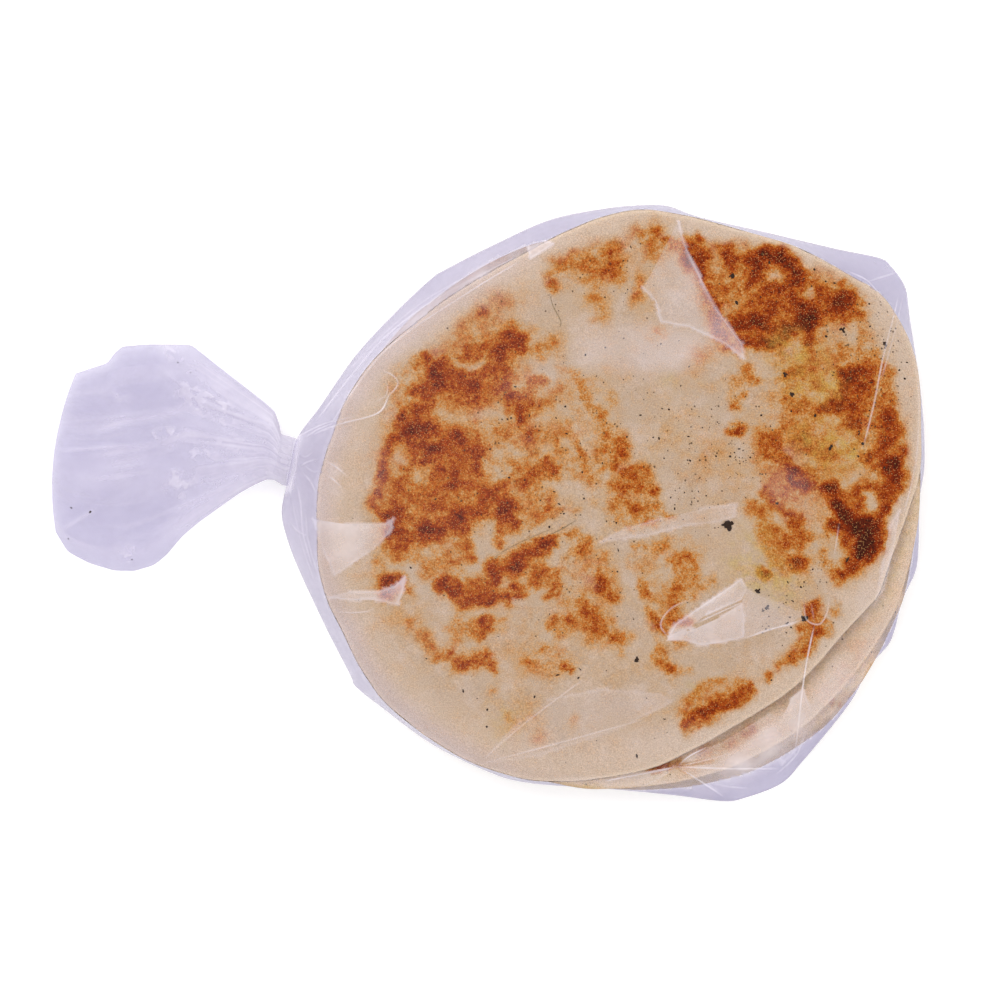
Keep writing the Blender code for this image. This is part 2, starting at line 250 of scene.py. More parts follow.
# Straight folds pressed in the fan, as start, end and strength, and ovals where it is crinkled.
TAIL_CREASES = (
    ((-172, 32), (-132, 37), 0.7), ((-173, 21), (-138, 24), 0.9), ((-156, 13), (-132, 16), 0.8),
    ((-172, -11), (-156, -1), 0.9), ((-156, -1), (-133, 8), 0.6), ((-120, 42), (-90, 32), 0.9),
    ((-138, 58), (-112, 40), 0.6), ((-150, 45), (-110, 30), 0.4), ((-132, 26), (-88, 22), 0.7),
    ((-116, 14), (-88, 18), 0.8), ((-140, 2), (-92, 15), 0.5), ((-150, -12), (-100, 9), 0.5),
    ((-146, -22), (-118, -2), 0.4), ((-124, 60), (-92, 38), 0.5),
)
TAIL_CRINKLES = (
    (-132, 28, 13, 4, 6, 1), (-104, 24, 14, 3, 4, 0.7), (-115, 20, 11, 4, -12, 1), (-123, 9, 9, 8, 30, 1),
    (-113, 41, 18, 8, -32, 0.9), (-127, 61, 7, 5, -30, 1), (-146, -19, 6, 6, 0, 0.8),
    (-150, 44, 10, 5, -20, 0.5),
)
TAIL_SECTIONS = 190
TAIL_STEPS = 140
TAIL_FADE = 0.055
TAIL_HAZE = 0.97
NECK_THICKNESS = 10.5
TAIL_THICKNESS = 2.2
EDGE_THICKNESS = 0.5
LEAST_THICKNESS = 0.3
NECK_HEIGHT = 12.6
MOUTH_HEIGHT = 5.0
NECK_SHARE = 0.14
FAN_SHARE = 0.5
TAIL_FLOOR = 0.3
# Waves and pleats across the fan, as (waves, height, phase).
TAIL_WAVES = ((2.0, 0.35, 0.6), (4.5, 0.12, 2.1))
TAIL_PLEATS = ((19.0, 0.16, 0.3), (33.0, 0.1, 1.7))
NECK_PLEATS = 9.0
NECK_PLEAT_SHARE = 0.03
FACET_SIZE = 3.6
FACET_BEND = 1.5
BEND_SIZE = 6.0
FACET_HEIGHT = 0.3
FAN_PLEAT = 0.08
NECK_PLEAT = 0.22
FOLD_WIDTH = 1.5
FOLD_HEIGHT = 0.2
CRUMPLE_DEPTH = 0.35
TAIL_SLACK = 0.4
# Painted sheen on the fan: glints on crinkled facets and their borders, and on folds, streaks, bands and the
# gathered neck.
GLINT = 0.8
BORDER = 0.3
SHEEN_ON_WRINKLES = 0.85
SHEEN_ON_FOLDS = 0.5
SHEEN_IN_CRINKLES = 0.1
SHEEN_ON_STREAKS = 0.16
SHEEN_ON_BANDS = 0.3
SHEEN_GATHERED = 0.6
SHEEN_UNDER = 0.06

# Toasting of the top bread as brush strokes: strength, then strokes as places with half widths.
TOAST = (
    (0.2, (((29, 30, 2), (34, 28, 1.6), (33, 38, 1.6), (38, 31, 1.6)), ((21, -91, 2.8),), ((34, -87, 2),))),
    (0.22, (((3, -75, 1.6),), ((7, -84, 1.6),), ((44, 81, 3.6), (47, 75, 2.4)))),
    (0.24, (((-7, 74, 3.4), (-1, 77, 4.8), (7, 82, 3.2)),)),
    (0.26, (((61, 90, 2.2), (60, 82, 2.2)), ((-26, -52, 2.2), (-19, -58, 2.4), (-10, -50, 2.2)))),
    (0.28, (((-25, -52, 1.6),), ((16, 34, 2.6), (24, 40, 2.8), (28, 48, 2.2)))),
    (0.3, (((67, 67, 2.4),), ((86, 60, 2.8),), ((51, 42, 1.6),), ((47, -21, 2),), ((53, -60, 1.6),),
        ((48, -47, 2.4),), ((-43, -24, 2),), ((-31, -48, 2),), ((-12, -46, 2.4), (-12, -52, 2.4)),
        ((75, -56, 2), (80, -56, 2)), ((76, -66, 1.6), (81, -66, 1.2)), ((93, 76, 2.4), (97, 65, 2.2)),
        ((-2, 20, 3), (6, 14, 3.4), (14, 18, 3), (20, 10, 3)), ((-34, -16, 2.4), (-27, -22, 2.6)))),
    (0.34, (((84, -81, 2.8), (94, -76, 2.8), (101, -72, 2)), ((85, 96, 2.8), (90, 86, 2.6)))),
    (0.35, (((38, 95, 2.4), (45, 94, 3.6), (50, 97, 3.2), (52, 90, 2.8)),)),
    (0.36, (((19, 62, 3.2), (26, 64, 3.2), (22, 59, 1.6)), ((34, 52, 2.8), (38, 46, 2.8)), ((25, 93, 2.4),
        (34, 97, 3.6), (42, 99, 4), (50, 102, 3.6)), ((27, 88, 2.4), (26, 84, 1.2)), ((3, 30, 2.4),
        (7, 26, 2.4), (13, 30, 1.6), (23, 27, 2.8)), ((37, 23, 2), (41, 10, 2.4), (45, 14, 1.6)),
        ((-19, -21, 2.8), (-14, -23, 2.8), (-25, -25, 2)), ((-32, -34, 1.6),), ((61, 106, 4.4),
        (67, 110, 3.6), (65, 102, 3.6)), ((92, 103, 1.6), (94, 97, 2)), ((160, 51, 2.8), (159, 43, 3.2)),
        ((138, -44, 2.4), (140, -41, 1.6)), ((121, -62, 2.4), (115, -66, 2)), ((78, -83, 2),),
        ((99, -71, 1.4), (106, -75, 1.2)), ((81, -78, 2.4), (86, -74, 2.4), (94, -71, 1.6)),
        ((58, -16, 1.6), (66, -18, 2.8), (70, -17, 2.4)), ((83, -32, 2.4), (90, -31, 1.6)), ((75, -40, 2.4),
        (72, -46, 2), (80, -46, 1.6)), ((52, 2, 3.2), (58, -2, 4.4), (66, -1, 3.2)), ((68, -6, 2.4),
        (74, -6, 1.6), (57, -8, 2.4)))),
    (0.4, (((37, 48, 2.2), (40, 42, 2.6), (44, 35, 3.2), (46, 31, 2.6)), ((136, -24, 2.6), (141, -30, 2.4),
        (148, -27, 2.2)), ((124, -50, 2), (131, -46, 2.4), (136, -52, 1.8)))),
    (0.42, (((47, 27, 2.4), (51, 21, 4.4), (49, 14, 2)), ((20, -25, 3.6), (26, -28, 2.8), (27, -34, 2),
        (24, -38, 1.2)), ((31, -12, 1.2), (39, -13, 2.8), (37, -18, 3.2)), ((45, -30, 2.4), (46, -34, 2.4),
        (50, -38, 2.4)), ((32, -46, 2.8), (29, -50, 2)), ((50, -53, 2.4), (54, -54, 2.4)), ((72, -23, 1.6),
        (77, -21, 2), (82, -22, 2)), ((62, -35, 2), (61, -30, 1.2)), ((73, -34, 1.6), (78, -34, 2.4)),
        ((55, 10, 3.2), (61, 14, 2), (64, 8, 2.4)), ((16, -62, 1.6),), ((21, -59, 1.2), (26, -57, 0.8)),
        ((38, -39, 2.4), (42, -48, 5.2)), ((29, -46, 2.4), (27, -50, 2)), ((64, -42, 1.6), (67, -47, 2),
        (70, -51, 1.6)), ((71, 103, 2.8), (77, 103, 3.4), (82, 96, 2.8)), ((120, 2, 3.4), (128, 10, 3.4),
        (136, 6, 2.6)))),
    (0.44, (((67, -58, 1.6), (69, -62, 2), (72, -66, 2)),)),
    (0.45, (((96, 100, 3.6), (101, 98, 2.8)),)),
    (0.46, (((84, 94, 2.4), (88, 82, 3.2), (91, 72, 3.2), (95, 64, 2.6)),)),
    (0.49, (((5, 57, 4.4), (4, 50, 4)), ((-8, 61, 3.2), (0, 62, 3.2)), ((-29, 56, 2.4), (-26, 57, 2.4)),
        ((-23, 44, 4.8), (-10, 44, 6.4), (2, 46, 5.2), (8, 50, 3.2)), ((-17, 53, 3.6), (-12, 51, 3.2)),
        ((-36, 31, 2.8), (-32, 34, 2.4)), ((-32, 23, 3.2), (-30, 18, 2.4), (-33, 14, 1.6)), ((13, 44, 2.8),
        (20, 49, 2)), ((-39, 23, 2.4), (-40, 19, 2)), ((-40, 5, 3.2), (-44, 2, 3.2), (-43, -2, 2.4)),
        ((-19, 23, 4.8), (-14, 14, 5.6), (-6, 8, 3.2)), ((-21, 31, 3.6), (-27, 22, 1.6)), ((10, 15, 2.4),
        (15, 10, 3.6), (22, 14, 3.2)), ((-37, -2, 3.2), (-31, -6, 4.4), (-23, -1, 5.6), (-11, 2, 6)),
        ((5, -12, 2.4), (4, -15, 1.6)), ((5, -37, 2), (7, -41, 1.2)), ((11, -35, 1.6), (14, -34, 2)),
        ((-5, -50, 3.2), (0, -47, 2.4), (-3, -54, 1.6)), ((-19, -61, 1.6), (-15, -58, 1.2)),
        ((-13, -64, 2.4), (-6, -62, 3.2), (-2, -62, 2.4), (2, -66, 1.6)), ((30, -64, 2), (33, -64, 1.2)),
        ((77, 103, 2.4), (80, 97, 2.4)), ((122, 90, 3.2), (124, 85, 2.8), (121, 82, 2)), ((110, 85, 3.2),
        (117, 86, 3.2), (115, 80, 2.4)), ((91, 85, 2.8), (94, 82, 2), (91, 89, 1.6)), ((104, 85, 1.6),
        (108, 79, 2.4), (105, 76, 2.4)), ((126, 78, 3.2), (134, 75, 3.2), (140, 77, 3.6)), ((142, 87, 2.4),
        (149, 81, 2)), ((141, 62, 2), (143, 58, 1.6)), ((150, 59, 2), (153, 56, 2.4), (154, 61, 1.6)),
        ((126, 55, 2), (118, 50, 1.6)), ((105, 54, 2.4), (107, 50, 2)), ((102, 44, 1.6), (98, 41, 2.4)),
        ((119, 40, 2), (124, 38, 2.4), (127, 42, 1.6)), ((146, 30, 3.2), (149, 26, 2.8), (143, 22, 2)),
        ((110, 28, 2.8), (113, 22, 2.8), (115, 18, 1.6), (116, 29, 1.6)), ((123, 26, 1.2), (126, 26, 2)),
        ((118, 17, 2.4), (121, 13, 2.8)), ((111, 5, 1.6), (113, 1, 2.4)), ((110, -4, 2.4), (111, -10, 2.8),
        (115, -14, 2.8), (118, -16, 1.6)), ((116, -2, 1.2), (124, -5, 2), (122, -11, 2.4), (127, -14, 2.4)),
        ((134, -19, 2.4),), ((121, -21, 1.6), (124, -24, 2.4)), ((130, -41, 1.6), (128, -44, 1.6)),
        ((124, -60, 1.6), (129, -55, 2.4), (132, -50, 2)), ((111, -70, 1.6),), ((18, -18, 2.8),
        (24, -16, 2.4), (28, -14, 1.2)))),
    (0.53, (((-41, -32, 3.6), (-36, -29, 2.4)),)),
    (0.55, (((24, 15, 2.8), (26, 13, 2.4)),)),
    (0.57, (((79, -89, 2.6), (82, -85, 3), (90, -82, 3), (97, -78, 2.6), (103, -74, 2.2)), ((123, 83, 2.8),
        (127, 79, 2.4)))),
    (0.6, (((4, 60, 3.6), (10, 65, 5.2), (14, 67, 2.4)), ((-22, 54, 3.2), (-17, 57, 2.4)), ((-30, 44, 3.2),
        (-23, 47, 4.8), (-19, 50, 3.2)), ((-33, 36, 3.2), (-27, 38, 4)), ((-37, 26, 3.6), (-30, 29, 4),
        (-26, 31, 2.4)), ((10, 42, 3.2), (14, 38, 3.6), (13, 34, 2)), ((-41, 14, 2.4), (-42, 10, 2.8)),
        ((-22, 19, 3.2), (-13, 18, 5.6), (-7, 17, 4.4), (-5, 13, 3.2)), ((-16, 11, 4), (-20, 7, 4)),
        ((5, 6, 2.8), (8, 8, 2)), ((-36, -4, 2.8), (-36, -10, 3.2), (-31, -13, 4), (-24, -10, 4),
        (-17, -7, 4.4)), ((-14, -2, 4.8), (-7, -2, 6.4), (2, 2, 5.6), (8, -2, 4), (10, -8, 3.2)),
        ((-19, -10, 4), (-10, -8, 3.6)), ((-36, -19, 3.2), (-33, -18, 2.4)), ((-9, -16, 2.8),
        (-8, -21, 2.4)), ((-18, -32, 2.4), (-13, -30, 2), (-10, -35, 4), (-2, -34, 4), (2, -35, 2.4)),
        ((-10, -64, 2), (-6, -62, 1.6)))),
    (0.62, (((1, -27, 2.8), (9, -24, 4), (17, -21, 4.4), (22, -18, 3.2)),)),
    (0.64, (((20, -28, 2.8),), ((82, 103, 3.2), (84, 100, 3.2)), ((113, 64, 2.4), (104, 66, 2.8)),
        ((128, 70, 2.8), (128, 64, 2.8)), ((141, 81, 3.6), (146, 78, 3.2), (143, 84, 2.4)), ((141, 52, 2.8),
        (146, 53, 3.2), (143, 46, 3.6), (149, 48, 2.8)), ((135, 38, 2.8), (142, 40, 3.6), (148, 41, 4),
        (146, 35, 3.2)), ((99, 30, 2.4),), ((160, 34, 2.8), (161, 28, 3.2), (159, 23, 3.2), (154, 19, 3.6)),
        ((120, 7, 2.4), (125, 6, 2.8), (130, 8, 2)), ((110, -28, 1.6),), ((110, 100, 2.8), (115, 98, 3.6),
        (121, 95, 3.2)))),
    (0.66, (((-19, 15, 3.6), (-13, 12, 4), (-14, 6, 2.8)),)),
    (0.68, (((-20, 22, 3.6), (-13, 24, 5.2), (-6, 21, 3.2)), ((106, 97, 2.8), (106, 91, 2.8), (104, 86, 2)),
        ((123, 93, 2.8), (125, 87, 2.8)))),
    (0.71, (((100, 72, 3.2), (107, 73, 4), (115, 69, 4.8), (123, 71, 4), (127, 74, 3.2)),)),
    (0.78, (((133, 6, 2), (139, 4, 3.2)), ((138, -10, 2.4), (145, -11, 3.6), (143, -16, 2)), ((158, -2, 2),
        (156, -10, 2.4), (153, -21, 2)), ((146, -25, 2.8), (142, -28, 2)))),
    (0.8, (((160, 16, 3.6), (162, 10, 3.6), (159, 4, 3.2)),)),
    (0.94, (((139, 0, 2.4), (142, -5, 2.8), (147, -7, 3.2), (154, -6, 2.4)), ((150, -10, 4),
        (151, -15, 3.6), (148, -21, 2.8)))),
    (0.99, (((145, -7, 2.8), (150, -14, 3.6), (147, -20, 3)),)),
)
# Broad toasted areas: strength, half width of the soft edge and outline.
TOAST_FIELDS = (
    (0.28, 4.9, ((-37, 55), (-22, 63), (-14, 71), (-6, 79), (13, 82), (14, 71), (18, 43), (21, 32),
        (41, 30), (45, 14), (41, -3), (29, -6), (17, -19), (5, -25), (-7, -38), (-19, -38), (-23, -22),
        (-37, -23), (-46, -6), (-46, 14), (-41, 30))),
    (0.3, 2.7, ((-6, 79), (1, 81), (4, 74), (1, 70), (-5, 68), (-7, 73))),
    (0.46, 2.2, ((-31, 58), (-23, 58), (-8, 62), (-3, 66), (6, 69), (15, 70), (16, 63), (11, 55), (10, 47),
        (6, 43), (-3, 41), (-11, 38), (-19, 40), (-26, 40), (-31, 38), (-32, 44), (-28, 49), (-25, 53),
        (-30, 54))),
    (0.5, 2.2, ((-34, 41), (-25, 40), (-22, 36), (-23, 28), (-30, 25), (-36, 23), (-41, 26), (-38, 32))),
    (0.48, 2.7, ((-23, 24), (-14, 30), (-5, 30), (-1, 23), (-2, 11), (9, 10), (11, 1), (14, -4), (13, -10),
        (5, -16), (2, -9), (-6, -14), (-17, -15), (-23, -18), (-31, -17), (-31, -23), (-38, -22),
        (-41, -17), (-38, -10), (-43, -5), (-47, 2), (-45, 14), (-41, 17), (-37, 11), (-31, 14),
        (-26, 22))),
    (0.52, 1.6, ((9, 43), (17, 46), (20, 41), (17, 34), (13, 32), (10, 37))),
    (0.34, 1.6, ((16, 51), (21, 52), (21, 45), (17, 43))),
    (0.5, 2.2, ((-6, -32), (0, -24), (8, -18), (17, -14), (24, -11), (30, -12), (29, -18), (23, -22),
        (28, -31), (30, -38), (21, -34), (13, -38), (5, -39), (-3, -40), (-15, -39), (-20, -33), (-17, -29),
        (-10, -30))),
    (0.5, 1.6, ((-11, -17), (-5, -15), (-4, -19), (-7, -25), (-10, -22))),
    (0.3, 2.2, ((-30, -27), (-21, -22), (-11, -20), (-10, -24), (-19, -29), (-27, -30))),
    (0.34, 2.2, ((-34, -32), (-30, -32), (-30, -36), (-34, -36))),
    (0.3, 2.7, ((-18, -46), (-11, -46), (-9, -52), (-14, -55), (-18, -52))),
    (0.34, 2.2, ((-8, -46), (7, -45), (6, -50), (0, -54), (-6, -54))),
    (0.34, 2.2, ((-17, -66), (-10, -61), (-2, -60), (5, -63), (3, -68), (-2, -66), (-10, -67))),
    (0.26, 2.2, ((18, 66), (30, 66), (30, 61), (22, 58))),
    (0.22, 2.2, ((27, 56), (41, 52), (46, 40), (54, 28), (54, 18), (61, 18), (62, 10), (69, 6), (74, -6),
        (65, -10), (50, -8), (47, 2), (45, 14), (38, 18), (41, 26), (34, 36), (27, 41))),
    (0.4, 1.6, ((47, 26), (54, 27), (54, 18), (47, 18), (43, 21))),
    (0.42, 1.6, ((53, 10), (58, 17), (62, 16), (62, 10), (69, 6), (70, 2), (61, 4), (50, 4), (46, 7))),
    (0.36, 2.2, ((50, 0), (58, 2), (70, 2), (74, -6), (65, -7), (58, -9), (51, -6))),
    (0.21, 2.7, ((4, 28), (21, 34), (30, 34), (38, 30), (39, 17), (34, 5), (24, -6), (16, -2), (13, 6),
        (10, 14), (4, 18))),
    (0.46, 1.6, ((19, 18), (29, 17), (29, 10), (24, 9), (19, 12))),
    (0.34, 2.2, ((13, 14), (21, 14), (21, 2), (14, 2))),
    (0.46, 1.6, ((22, 2), (26, 2), (26, -3), (22, -5))),
    (0.36, 2.2, ((30, -12), (38, -9), (43, -14), (40, -21), (32, -21))),
    (0.21, 2.2, ((27, -10), (41, -7), (45, -16), (52, -27), (54, -38), (50, -43), (47, -48), (55, -51),
        (54, -57), (46, -58), (40, -55), (34, -54), (29, -57), (24, -48), (29, -38), (27, -26))),
    (0.2, 2.2, ((57, -16), (67, -12), (81, -12), (88, -19), (87, -34), (81, -44), (72, -50), (71, -56),
        (73, -62), (78, -68), (74, -71), (69, -66), (64, -54), (61, -40), (60, -30), (55, -23))),
    (0.34, 2.2, ((26, -47), (31, -42), (37, -46), (34, -53), (27, -55))),
    (0.34, 2.2, ((42, -22), (47, -27), (51, -38), (47, -40), (42, -33))),
    (0.34, 2.2, ((73, -19), (85, -21), (87, -30), (83, -40), (75, -43), (70, -38), (72, -29))),
    (0.26, 3.2, ((13, -58), (27, -54), (37, -62), (29, -70), (17, -69))),
    (0.12, 3.4, ((81, -74), (97, -67), (125, -60), (115, -70), (101, -78), (85, -83))),
    (0.3, 2.7, ((21, 99), (37, 102), (53, 103), (58, 97), (53, 86), (41, 86), (29, 91))),
    (0.17, 2.7, ((41, 83), (50, 82), (49, 73), (42, 72))),
    (0.3, 4.3, ((86, 106), (109, 105), (125, 98), (143, 91), (152, 82), (154, 70), (158, 62), (162, 46),
        (167, 34), (168, 14), (162, -2), (158, -22), (147, -32), (138, -30), (139, -14), (134, 2), (121, 2),
        (111, 2), (107, 14), (102, 26), (113, 34), (118, 43), (110, 50), (99, 61), (92, 80))),
    (0.3, 2.2, ((95, 50), (109, 55), (110, 48), (102, 46), (99, 40), (95, 39))),
    (0.3, 2.7, ((103, 2), (121, 2), (127, -6), (127, -22), (121, -30), (112, -25), (107, -14), (104, -6))),
    (0.5, 2.2, ((93, 100), (102, 101), (111, 102), (121, 97), (126, 91), (134, 88), (144, 88), (149, 82),
        (148, 74), (137, 71), (131, 69), (131, 63), (128, 60), (125, 65), (118, 66), (112, 63), (103, 62),
        (98, 66), (95, 72), (99, 77), (102, 79), (97, 81), (89, 82), (87, 86), (94, 88), (97, 90),
        (93, 94))),
    (0.46, 1.6, ((78, 106), (86, 105), (87, 98), (84, 94), (80, 96))),
    (0.5, 2.2, ((138, 56), (145, 57), (153, 60), (156, 55), (154, 44), (153, 35), (145, 32), (134, 34),
        (131, 39), (138, 42), (139, 49))),
    (0.46, 1.6, ((125, 57), (130, 55), (130, 51), (125, 50))),
    (0.36, 2.2, ((139, 64), (144, 65), (146, 61), (140, 58))),
    (0.4, 1.6, ((118, 39), (126, 43), (132, 41), (130, 34), (122, 34))),
    (0.4, 3.2, ((155, 54), (162, 51), (164, 38), (158, 34), (153, 38))),
    (0.54, 2.2, ((153, 17), (154, 30), (159, 34), (165, 32), (166, 18), (165, 6), (160, -4), (158, -18),
        (152, -25), (145, -30), (139, -27), (143, -21), (140, -14), (136, -8), (138, -3), (134, 3),
        (125, 4), (118, 5), (117, 14), (111, 17), (107, 26), (113, 31), (120, 32), (116, 26), (120, 17),
        (125, 14), (127, 11), (137, 8), (147, 7), (154, 10))),
    (0.44, 2.2, ((107, -5), (117, 0), (118, -4), (115, -8), (122, -13), (130, -15), (119, -19),
        (111, -13))),
    (0.4, 1.6, ((96, 32), (102, 32), (102, 28), (97, 26))),
    (0.42, 1.6, ((122, 28), (129, 28), (129, 24), (122, 24))),
    (0.36, 1.6, ((119, -22), (126, -22), (127, -26), (120, -26))),
    (0.36, 2.2, ((125, -41), (131, -38), (132, -43), (126, -45))),
    (0.32, 2.2, ((136, -39), (142, -40), (142, -44), (136, -45))),
    (0.34, 2.2, ((120, -58), (128, -47), (134, -47), (130, -58), (123, -62))),
)
# Places inside them that stay pale: share taken off, half width of the soft edge and outline.
PALE_HOLES = (
    (0.9, 1.6, ((-22, 39), (-17, 38), (-3, 41), (7, 40), (7, 34), (-6, 34), (-15, 29), (-22, 30))),
    (0.8, 1.6, ((-17, 58), (-7, 58), (4, 58), (-2, 54), (-7, 52), (-14, 54))),
    (0.9, 2.2, ((6, 83), (29, 70), (17, 59), (11, 46), (15, 58), (16, 70), (5, 73))),
    (0.7, 1.6, ((-42, 22), (-34, 22), (-34, 18), (-40, 17))),
    (0.6, 1.6, ((-30, 14), (-23, 15), (-23, 9), (-29, 8))),
    (0.7, 1.6, ((-23, 6), (-18, 6), (-17, 2), (-22, 1))),
    (0.7, 1.1, ((-15, 9), (-11, 9), (-11, 6), (-14, 5))), (0.9, 1.1, ((-10, 6), (-6, 6), (-6, 3), (-9, 2))),
    (0.6, 1.6, ((-42, 2), (-34, 2), (-30, -2), (-36, -2))),
    (0.9, 1.6, ((-6, -10), (3, -7), (4, -12), (2, -21), (-4, -26), (-7, -30), (-9, -27), (-5, -21))),
    (0.7, 1.6, ((6, -28), (16, -26), (17, -32), (11, -36), (5, -34))),
    (0.7, 1.6, ((24, -16), (30, -18), (27, -23), (24, -21))),
    (0.9, 1.6, ((-33, -19), (-22, -18), (-13, -17), (-19, -22), (-30, -26), (-34, -30))),
    (0.8, 2.2, ((22, 8), (34, 10), (41, 4), (34, -3), (27, 2), (27, 5))),
    (0.7, 1.6, ((30, 26), (40, 24), (38, 19), (31, 22))),
    (0.7, 1.6, ((21, 24), (27, 23), (26, 18), (21, 19))), (0.7, 2.2, ((-1, 22), (5, 21), (5, 13), (0, 14))),
    (0.6, 1.6, ((113, 93), (123, 92), (122, 88), (115, 87), (110, 88))),
    (0.7, 1.6, ((117, 82), (122, 83), (122, 80), (118, 80))),
    (0.8, 1.6, ((126, 85), (130, 86), (131, 82), (127, 81))),
    (0.6, 1.6, ((102, 87), (108, 89), (108, 81), (102, 80))),
    (0.9, 1.6, ((132, 70), (140, 73), (146, 72), (145, 66), (138, 63), (132, 64))),
    (0.9, 2.2, ((130, 55), (138, 55), (138, 43), (131, 42), (125, 45), (125, 48))),
    (0.9, 1.6, ((120, 64), (125, 63), (126, 58), (121, 58))),
    (0.9, 2.2, ((102, 61), (111, 62), (114, 57), (110, 55), (102, 56))),
    (0.8, 2.2, ((110, 55), (117, 54), (115, 43), (110, 46))),
    (0.9, 2.2, ((117, 23), (125, 22), (129, 15), (123, 16), (119, 18))),
    (0.9, 2.2, ((125, 17), (145, 16), (151, 14), (145, 9), (133, 11))),
    (0.9, 1.6, ((127, 4), (132, 4), (136, -2), (138, -13), (140, -21), (134, -21), (130, -10), (126, -3))),
    (0.9, 1.6, ((150, 4), (157, 4), (157, -4), (150, -4))),
    (0.8, 2.2, ((113, -4), (119, -4), (125, -7), (119, -10), (115, -8))),
    (0.8, 2.2, ((106, 30), (100, 24), (109, 10), (107, 2), (101, 2), (100, 26))),
    (0.9, 1.2, ((-9, -29), (-2, -20), (5, -14), (17, -10), (29, -5), (41, -1), (42, -5), (31, -10),
        (23, -12), (13, -16), (6, -20), (0, -26), (-6, -32))),
)
# Ovals with a faint golden tone.
GOLDEN_PATCHES = (
    (136, 40, 34, 46, 12, 0.29), (130, -8, 22, 26, 0, 0.2), (80, 22, 26, 22, 0, 0.05),
    (2, 70, 16, 14, 40, 0.2), (24, -24, 26, 22, 0, 0.1), (-22, 14, 22, 44, -18, 0.22),
    (116, 80, 36, 18, -20, 0.15), (122, -12, 24, 26, 0, 0.12), (12, 20, 44, 40, 0, 0.1),
    (8, 76, 22, 10, 35, 0.12), (44, 94, 28, 9, 12, 0.09), (20, -48, 40, 18, 6, 0.07),
    (10, -84, 16, 10, 0, 0.09),
)
# Olive stains, as brush strokes.
OLIVE = (
    (0.5, (((8, -87, 5.6),),)), (0.6, (((72, 50, 2.4),),)), (0.7, (((106, -16, 5.6),), ((81, -74, 2),))),
    (1, (((120, 62, 5.6), (125, 58, 3.2)), ((130, 50, 8), (135, 47, 4.8)), ((130, 26, 5.6), (138, 22, 6.4),
        (145, 19, 3.2)), ((102, -22, 4.8), (106, -27, 5.6), (117, -33, 5.6)))),
)
# Ovals with many fine dark pores.
PORE_FIELDS = (
    (85, 18, 36, 28, 20, 0.75), (150, 50, 18, 42, 8, 1.3), (104, 14, 12, 14, 0, 1),
    (128, -28, 14, 8, 10, 0.9), (120, 84, 34, 16, -18, 0.6), (48, 92, 20, 12, 20, 0.6),
    (118, -42, 22, 14, -20, 0.5), (30, 10, 60, 70, 0, 0.38), (158, 68, 8, 14, 10, 1.5),
)
UNDER_PORES = 0.2
LOWER_PORES = 0.15
# Marks on the lower breads that show past the top one, by bread from the bottom up.
LOWER_TOAST = (
    ((0.5, (((140, -79, 1.4), (143, -82, 0.9)),)), (0.7, (((82, -113, 1.2), (86, -112, 0.8)),))),
    ((0.3, (((90, -104, 3), (104, -100, 3)),)), (0.42, (((137, -76, 1.6), (141, -80, 1)),))),
    ((0.16, (((146, -62, 3), (140, -64, 2)),)), (0.2, (((146, -57, 3), (150, -54, 2)),)), (0.3,
        (((80, -105, 3), (88, -102, 2.4)), ((110, -80, 1.6), (118, -77, 1.6)))), (0.34, (((88, -99, 3.6),
        (98, -96, 4), (106, -91, 3)),)), (0.5, (((65, -107, 1.4), (71, -105.5, 2.4), (77, -103, 2.2)),))),
)
LOWER_TAN = 0.14
LOWER_PALE = 0.85
# Share of olive tint painted as shade under the rim above, on a lower bread.
SHADE_OLIVE = 0.7
# Patches on hidden faces: size, seed, the noise where they set in and are full, the same for the
# distance inside the rim, and strength.
HIDDEN_OVER = (34.0, 91, (0.05, 0.5), (14.0, 34.0), 0.8)
HIDDEN_UNDER = (30.0, 121, (0.1, 0.5), (8.0, 26.0), 0.75)
# Distances inside a rim where its pale looks and its painted light set in and are full. The painted light
# lifts the shade at the rim's edge and on its under side, and over a lower bread it lifts the shade under the
# rim above, where an olive tint is painted into the same shade. Those distances over a lower bread are inside
# the rim above it, and the lift there keeps to faces toasted less than this.
EDGE_REACH = (24.0, 3.0)
SHADE_LIFT_REACH = (2.4, 0.2)
UNDER_SHADE_LIFT = 2.0
UNDER_SHADE_LIFT_REACH = (3.5, 0.5)
SHADOW_REACH = (-13.0, -1.0)
SHADOW_TOAST = (0.4, 0.2)
SHADOW_STRENGTH = 1.1
SHADE_OLIVE_REACH = (-7.0, -1.0)
STROKE_CORE = 0.1
STROKE_EDGE = 2.6
# Noise that makes the edges of the marks ragged, as (shift, size, seed).
RAGGED = ((2.6, 8.0, 51), (1.2, 2.8, 61))

# Burnt flakes on the top bread: place and size.
FLAKES = (
    (95.6, -8.2, 3.8), (126.2, -45.6, 2.5), (107.6, -34.8, 1.8), (111.4, -41.3, 1.7), (59.3, -62.1, 1.8),
    (59.4, -100.4, 1.4), (27.8, -68.2, 1.2), (-9.9, -74.5, 1.1), (97.5, 90.9, 2.2), (99.3, 80.3, 1.6),
    (141.5, 69.4, 2), (158.5, 63.7, 1.8), (118.5, 51.5, 1.7), (121.4, 43.7, 1.8), (149.5, 24.1, 1.6),
    (136.7, 22.5, 1.8), (115.3, 0.2, 1.3), (143.4, -22.4, 1.7), (112.2, 96.3, 1.3), (130.3, 93.5, 1.2),
    (125.9, 89.8, 1.1), (130.5, 35.3, 1.3), (135, 66.9, 1.2), (158.2, 14.6, 1.4), (148, 28, 1.2),
    (153, 48.5, 1.1), (166.3, 50, 1.1), (-10.8, -19.5, 0.7),
)
FINE_FLAKES = 820
FINE_FLAKES_BOX = ((-60.0, -105.0), (170.0, 112.0))
